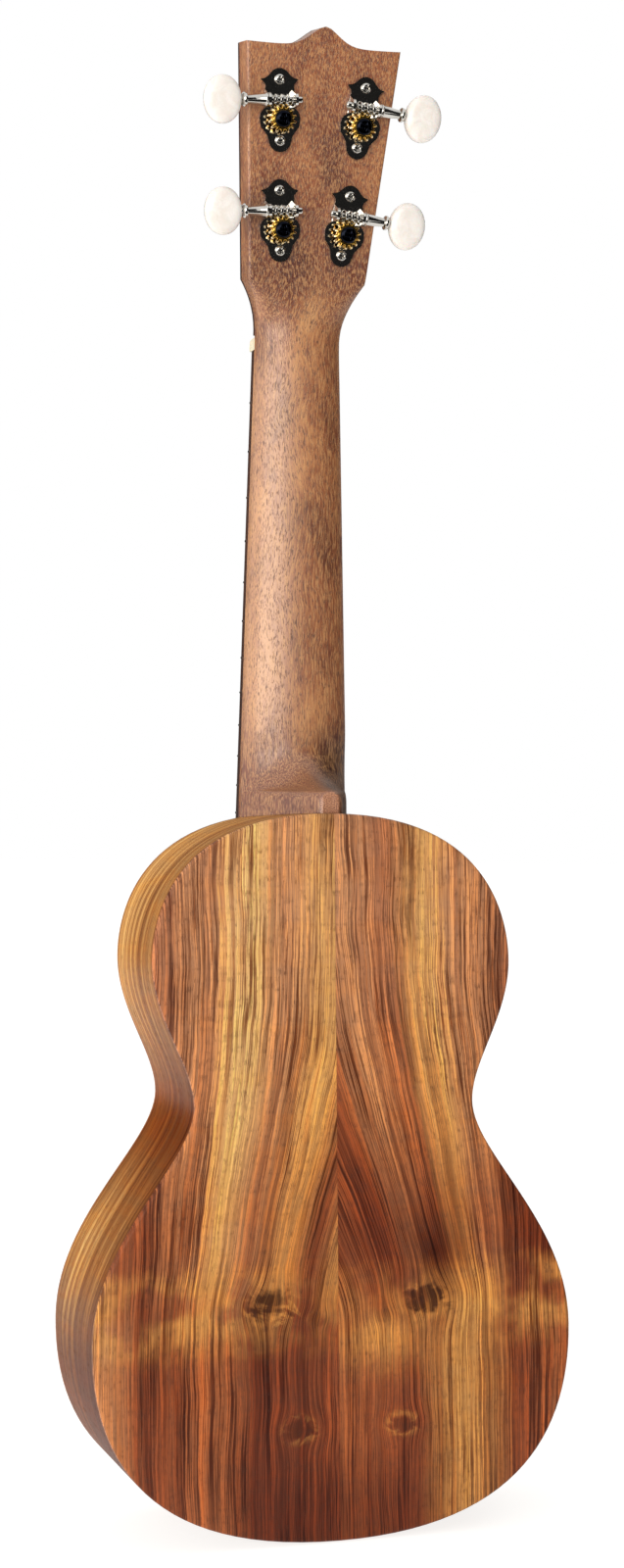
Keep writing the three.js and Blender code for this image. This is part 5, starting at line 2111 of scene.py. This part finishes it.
    def screw_form(self, radius: float, base: float, height: float, cross: float) -> Form:
        """A domed screw head with a cross recess.

        Args:
            radius: Radius of the head.
            base: Height of its underside.
            height: Height of the dome.
            cross: Half length of the recess.

        Returns:
            Its form.
        """
        steps, rings = 56, []
        rings.append([Vector((x, y, base)) for x, y in circle(radius, steps)])
        for i in range(22):
            share = 1 - i / 21
            ring = []
            for k in range(steps):
                angle = 2 * math.pi * (k + 0.5) / steps
                r = max(radius * share, 0.01)
                x, y = r * math.cos(angle), r * math.sin(angle)
                dome = base + height * (0.25 + 0.75 * math.sqrt(max(1 - share**2.4, 0.0)))
                arm, width = max(abs(x), abs(y)), min(abs(x), abs(y))
                depth = (1 - smooth(width, cross * 0.2, cross * 0.36)) * (1 - smooth(arm, cross * 0.7, cross))
                ring.append(Vector((x, y, dome - 0.62 * height * depth)))
            rings.append(ring)
        shank = Form().turned([(0, base - 4.0), (0.85, base - 4.0), (0.85, base + 0.1), (0, base + 0.1)], 16)
        return Form().skin(rings).plus(shank)

    def button_form(self) -> Form:
        """The oval button, a cushion in section.

        Returns:
            Its form.
        """
        start, length, width, thick = 17.0, 15.5, 19.0, 6.4
        rings: list[Ring] = []
        for i in range(25):
            turn = (i / 24 - 0.5) * math.pi
            level = math.copysign(abs(math.sin(turn)) ** 0.8, turn)
            share = max(math.cos(turn), 0.0) ** 0.42
            ring = []
            for k in range(64):
                angle = 2 * math.pi * k / 64
                x = start + length / 2 * (1 + share * math.cos(angle))
                ring.append(
                    Vector((x, self.centres + width / 2 * share * math.sin(angle), self.worm_up + thick / 2 * level))
                )
            rings.append(ring)
        return Form().skin(rings)

    def winding_form(self) -> Form:
        """Three turns of the string round the post, ending in its eye.

        Returns:
            Its form.
        """
        r = self.course.radius
        path = []
        for i in range(97):
            angle = 2 * math.pi * 3 * i / 96
            z = self.face - 4.1 - (2 * r + 0.1) * 3 * i / 96
            path.append(polar(self.post_r + r, math.pi - angle, z))
        eye = path[-1].z - 0.5
        path += [
            Vector((-1.6, 0.8, eye)), Vector((0.0, 0.1, eye - 0.3)), Vector((2.0, 0.0, eye - 0.4)),
            Vector((4.4, 0.4, eye - 0.9)),
        ]
        return Form().tube(path, r, 8)

    def build(self) -> list[Piece]:
        """The machine's pieces.

        Returns:
            The pieces.
        """
        name = self.course.name
        worm, post = f"worm_{name}", f"post_{name}"
        screw = self.screw_form(2.1, 1.5, 1.2, 1.35)
        pieces = [
            Piece(f"machine_plate_{name}", self.put(self.plate_form()), NICKEL, ROOT, (f"tuner_plate_{name}",), 0.22),
            Piece(f"worm_shaft_{name}", self.put(self.worm_form()), NICKEL, worm, (f"tuner_worm_{name}",), crease=50),
            Piece(f"gear_wheel_{name}", self.put(self.gear_form()), BRASS, post, (f"tuner_gear_{name}",), crease=40),
            Piece(
                f"string_post_{name}", self.put(self.post_form()), NICKEL, post, (f"tuner_post_{name}",), crease=45,
            ),
            Piece(
                f"bushing_{name}", self.put(self.bushing_form()), NICKEL, ROOT, (f"post_bushing_{name}",), crease=45,
            ),
            Piece(
                f"gear_screw_head_{name}", self.put(self.screw_form(3.45, 6.15, 1.9, 2.0)), BLACK_SCREW, post,
                (f"gear_screw_{name}",), crease=50,
            ),
            Piece(f"button_{name}", self.put(self.button_form()), PEARL, worm, (f"tuner_button_{name}",), crease=80),
            Piece(f"winding_{name}", self.put(self.winding_form()), NYLON, post, crease=80),
        ]
        for end, up in self.screw_ups.items():
            placed = self.put(screw.moved(lambda p: p + Vector((0, up, 0))))
            pieces.append(Piece(
                f"plate_screw_head_{end}_{name}", placed, NICKEL, ROOT, (f"plate_screw_{end}_{name}",), crease=50,
            ))
        return pieces


@dataclass
class Strings:
    """The four strings from the tie block to their posts.

    Attributes:
        marks: Places in the frame.
        machines: The tuning machines by string name.
    """

    marks: Marks
    machines: dict[str, Machine]

    def path(self, course: Course) -> list[Vector]:
        """The way of a string.

        Args:
            course: The string.

        Returns:
            Points from the loop at the tie block to the post.
        """
        marks, machine, r = self.marks, self.machines[course.name], course.radius

        def over(x: float, height: float, z: float) -> Vector:
            """A point over the soundboard."""
            return Vector((-x, marks.front - height, z))

        at, s = course.saddle_x, marks.saddle
        post = machine.origin + machine.axes @ Vector((-machine.post_r - r, 1.0, machine.face - 4.1))
        loop = [
            over(at + 0.8, 7.8, s - 7.4), over(at + 0.7, 7.9, s - 9), over(at + 0.6, 7.5, s - 11.3),
            over(at + 0.4, 6.4, s - 12.3),
        ]
        run = [
            over(at, 4.9, s - 12.6), over(at, 4.9, s - 6.2), over(at, 5.4, s - 5.2), over(at, 9.6, s - 1.2),
            over(at, 10.8, s),
        ]
        neck = [
            over(lerp(at, course.nut_x, t), lerp(10.8, 6.9 + r, t), lerp(s, marks.nut, t))
            for t in (0.25, 0.5, 0.75, 1.0)
        ]
        return [*loop, *run, *neck, over(course.nut_x, 7.25 + r, marks.nut + 1.6), post]

    def build(self) -> list[Piece]:
        """The strings.

        Returns:
            The pieces.
        """
        return [
            Piece(
                f"line_{course.name}", Form().tube(self.path(course), course.radius, 8), NYLON,
                stands_for=(f"string_{course.name}",), crease=80,
            )
            for course in COURSES
        ]


# ------------------------------------------------------------------------------ studio


@dataclass
class Studio:
    """The pale floor, the soft lights and the camera.

    Attributes:
        eye: Place of the camera, in metres.
        azimuth: Its bearing round the ukulele, in degrees.
        elevation: Its height angle, in degrees.
        roll: Its roll, in degrees.
        lens: Its focal length, in millimetres.
    """

    eye: tuple[float, float, float] = (0.31197, 0.95344, 0.27800)
    azimuth: float = 161.93
    elevation: float = -0.75
    roll: float = 0.53
    lens: float = 57.44

    def hang(
        self, name: str, data: bpy.types.ID, place: Sequence[float] = (0, 0, 0), turn: Quaternion = Quaternion()
    ) -> bpy.types.Object:
        """Puts a thing of the studio in its place, unseen by the camera.

        Args:
            name: Its name.
            data: Its light or mesh.
            place: Its place, in metres.
            turn: Its rotation.

        Returns:
            Its object.
        """
        made = bpy.data.objects.new(name, data)
        made.location = place
        made.rotation_mode = "QUATERNION"
        made.rotation_quaternion = turn
        made.visible_camera = False
        bpy.context.scene.collection.objects.link(made)
        return made

    def floor(self) -> None:
        """A large flat floor with a soft roll at its rim."""
        rim = [(0, -20.0), (14000, -20.0), (14400, -18.0), (14500, -10.0), (14400, -2.0), (14000, 0.0), (0, 0.0)]
        mesh = Form().turned(rim, 96).moved(lambda p: p + Vector((0, 0, -0.4))).mesh("floor", 40)
        mesh.materials.append(StudioPaper("studio_paper", "floor").material())
        self.hang("floor", mesh).visible_camera = True

    def lamp(self, name: str, place: tuple[float, float, float], size: float, watts: float, warm: str) -> None:
        """Adds a soft square light that faces the ukulele.

        Args:
            name: Its name.
            place: Its place, in metres.
            size: Its side, in metres.
            watts: Its power.
            warm: Its colour.
        """
        data = bpy.data.lights.new(name, "AREA")
        data.energy, data.size, data.color = watts, size, tone(warm)[:3]
        self.hang(name, data, place, (Vector((0, 0, 0.3)) - Vector(place)).to_track_quat("-Z", "Y"))

    def flag(self, name: str, place: tuple[float, float, float], size: tuple[float, float], lit: bool) -> None:
        """Adds a dark card that metal mirrors and that the camera does not see.

        Args:
            name: Its name.
            place: Its place, in metres. A card near the floor lies flat, any other faces the ukulele.
            size: Its width and height, in metres.
            lit: Whether it also keeps light off the ukulele.
        """
        w, h = (side / 2 / MM for side in size)
        mesh = Form().prism([(-w, -h), (w, -h), (w, h), (-w, h)], -4.0, 4.0).mesh(name, 40)
        card = ShellFinish(name, "floor", "0c0c0d", "141415", 0.05, 1.0, 0.9, 0.0, 0.0)
        mesh.materials.append(card.material())
        aim = Vector((0, 0, 1)) if place[2] < 0.1 else Vector((0, 0, 0.4)) - Vector(place)
        made = self.hang(name, mesh, place, aim.to_track_quat("Z", "Y"))
        made.visible_shadow = False
        made.visible_diffuse = lit

    def world(self) -> None:
        """An even white surround."""
        world = bpy.data.worlds.new("white_surround")
        world.use_nodes = True
        ground = world.node_tree.nodes["Background"]
        ground.inputs["Color"].default_value = (1.0, 1.0, 1.0, 1.0)
        ground.inputs["Strength"].default_value = 1.0
        bpy.context.scene.world = world

    def camera(self) -> None:
        """Sets the camera behind the ukulele, a little to its left."""
        a, e = math.radians(self.azimuth), math.radians(self.elevation)
        back = Vector((math.sin(a) * math.cos(e), -math.cos(a) * math.cos(e), math.sin(e)))
        data = bpy.data.cameras.new("camera")
        data.lens, data.sensor_width = self.lens, 36.0
        data.clip_start, data.clip_end = 0.01, 60.0
        made = bpy.data.objects.new("camera", data)
        made.location = self.eye
        made.rotation_mode = "QUATERNION"
        made.rotation_quaternion = (-back).to_track_quat("-Z", "Y") @ Quaternion((0, 0, 1), math.radians(self.roll))
        bpy.context.scene.collection.objects.link(made)
        bpy.context.scene.camera = made

    def build(self) -> None:
        """Sets the whole studio up."""
        self.floor()
        self.world()
        self.lamp("key", (0.95, 2.05, 0.6), 1.2, 16.0, "fffaf2")
        self.lamp("left_strip", (1.75, 1.2, 0.5), 1.0, 13.0, "fff8ee")
        self.flag("camera_wall", (-0.9, 1.7, 0.45), (2.3, 2.4), True)
        self.flag("right_wall", (-1.5, 0.1, 0.5), (2.4, 2.4), True)
        self.flag("front_card", (-0.2, -2.2, 0.4), (4.4, 2.4), False)
        self.flag("low_card", (0.1, 1.0, 0.02), (1.9, 1.5), False)
        self.camera()
        view = bpy.context.scene.view_settings
        view.view_transform = "Standard"


def main() -> None:
    """Builds the ukulele and the studio."""
    logging.basicConfig(level=logging.INFO, format="%(name)s: %(message)s")
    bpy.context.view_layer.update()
    marks = Marks.read()
    LOG.info("marks: %s", marks)
    body = Body(marks)
    neck = Neck(marks)
    outline = body.half(0.0)[3 * body.steps + 4 :]

    def shoulder(x: float) -> float:
        """Height of the body's outline over x, near the neck."""
        for (x0, z0), (x1, z1) in zip(outline, outline[1:]):
            if x1 <= abs(x) <= x0:
                return lerp(z0, z1, (x0 - abs(x)) / max(x0 - x1, 1e-6)) + 0.05
        return marks.body_top + 0.05

    machines = {course.name: Machine(course) for course in COURSES}
    parts = [body.build(), neck.build(shoulder), Fingerboard(marks, neck).build(), Bridge(marks).build()]
    parts += [machine.build() for machine in machines.values()]
    parts.append(Strings(marks, machines).build())
    for part in parts:
        for piece in part:
            piece.place()
    Studio().build()


if __name__ == "__main__":
    main()
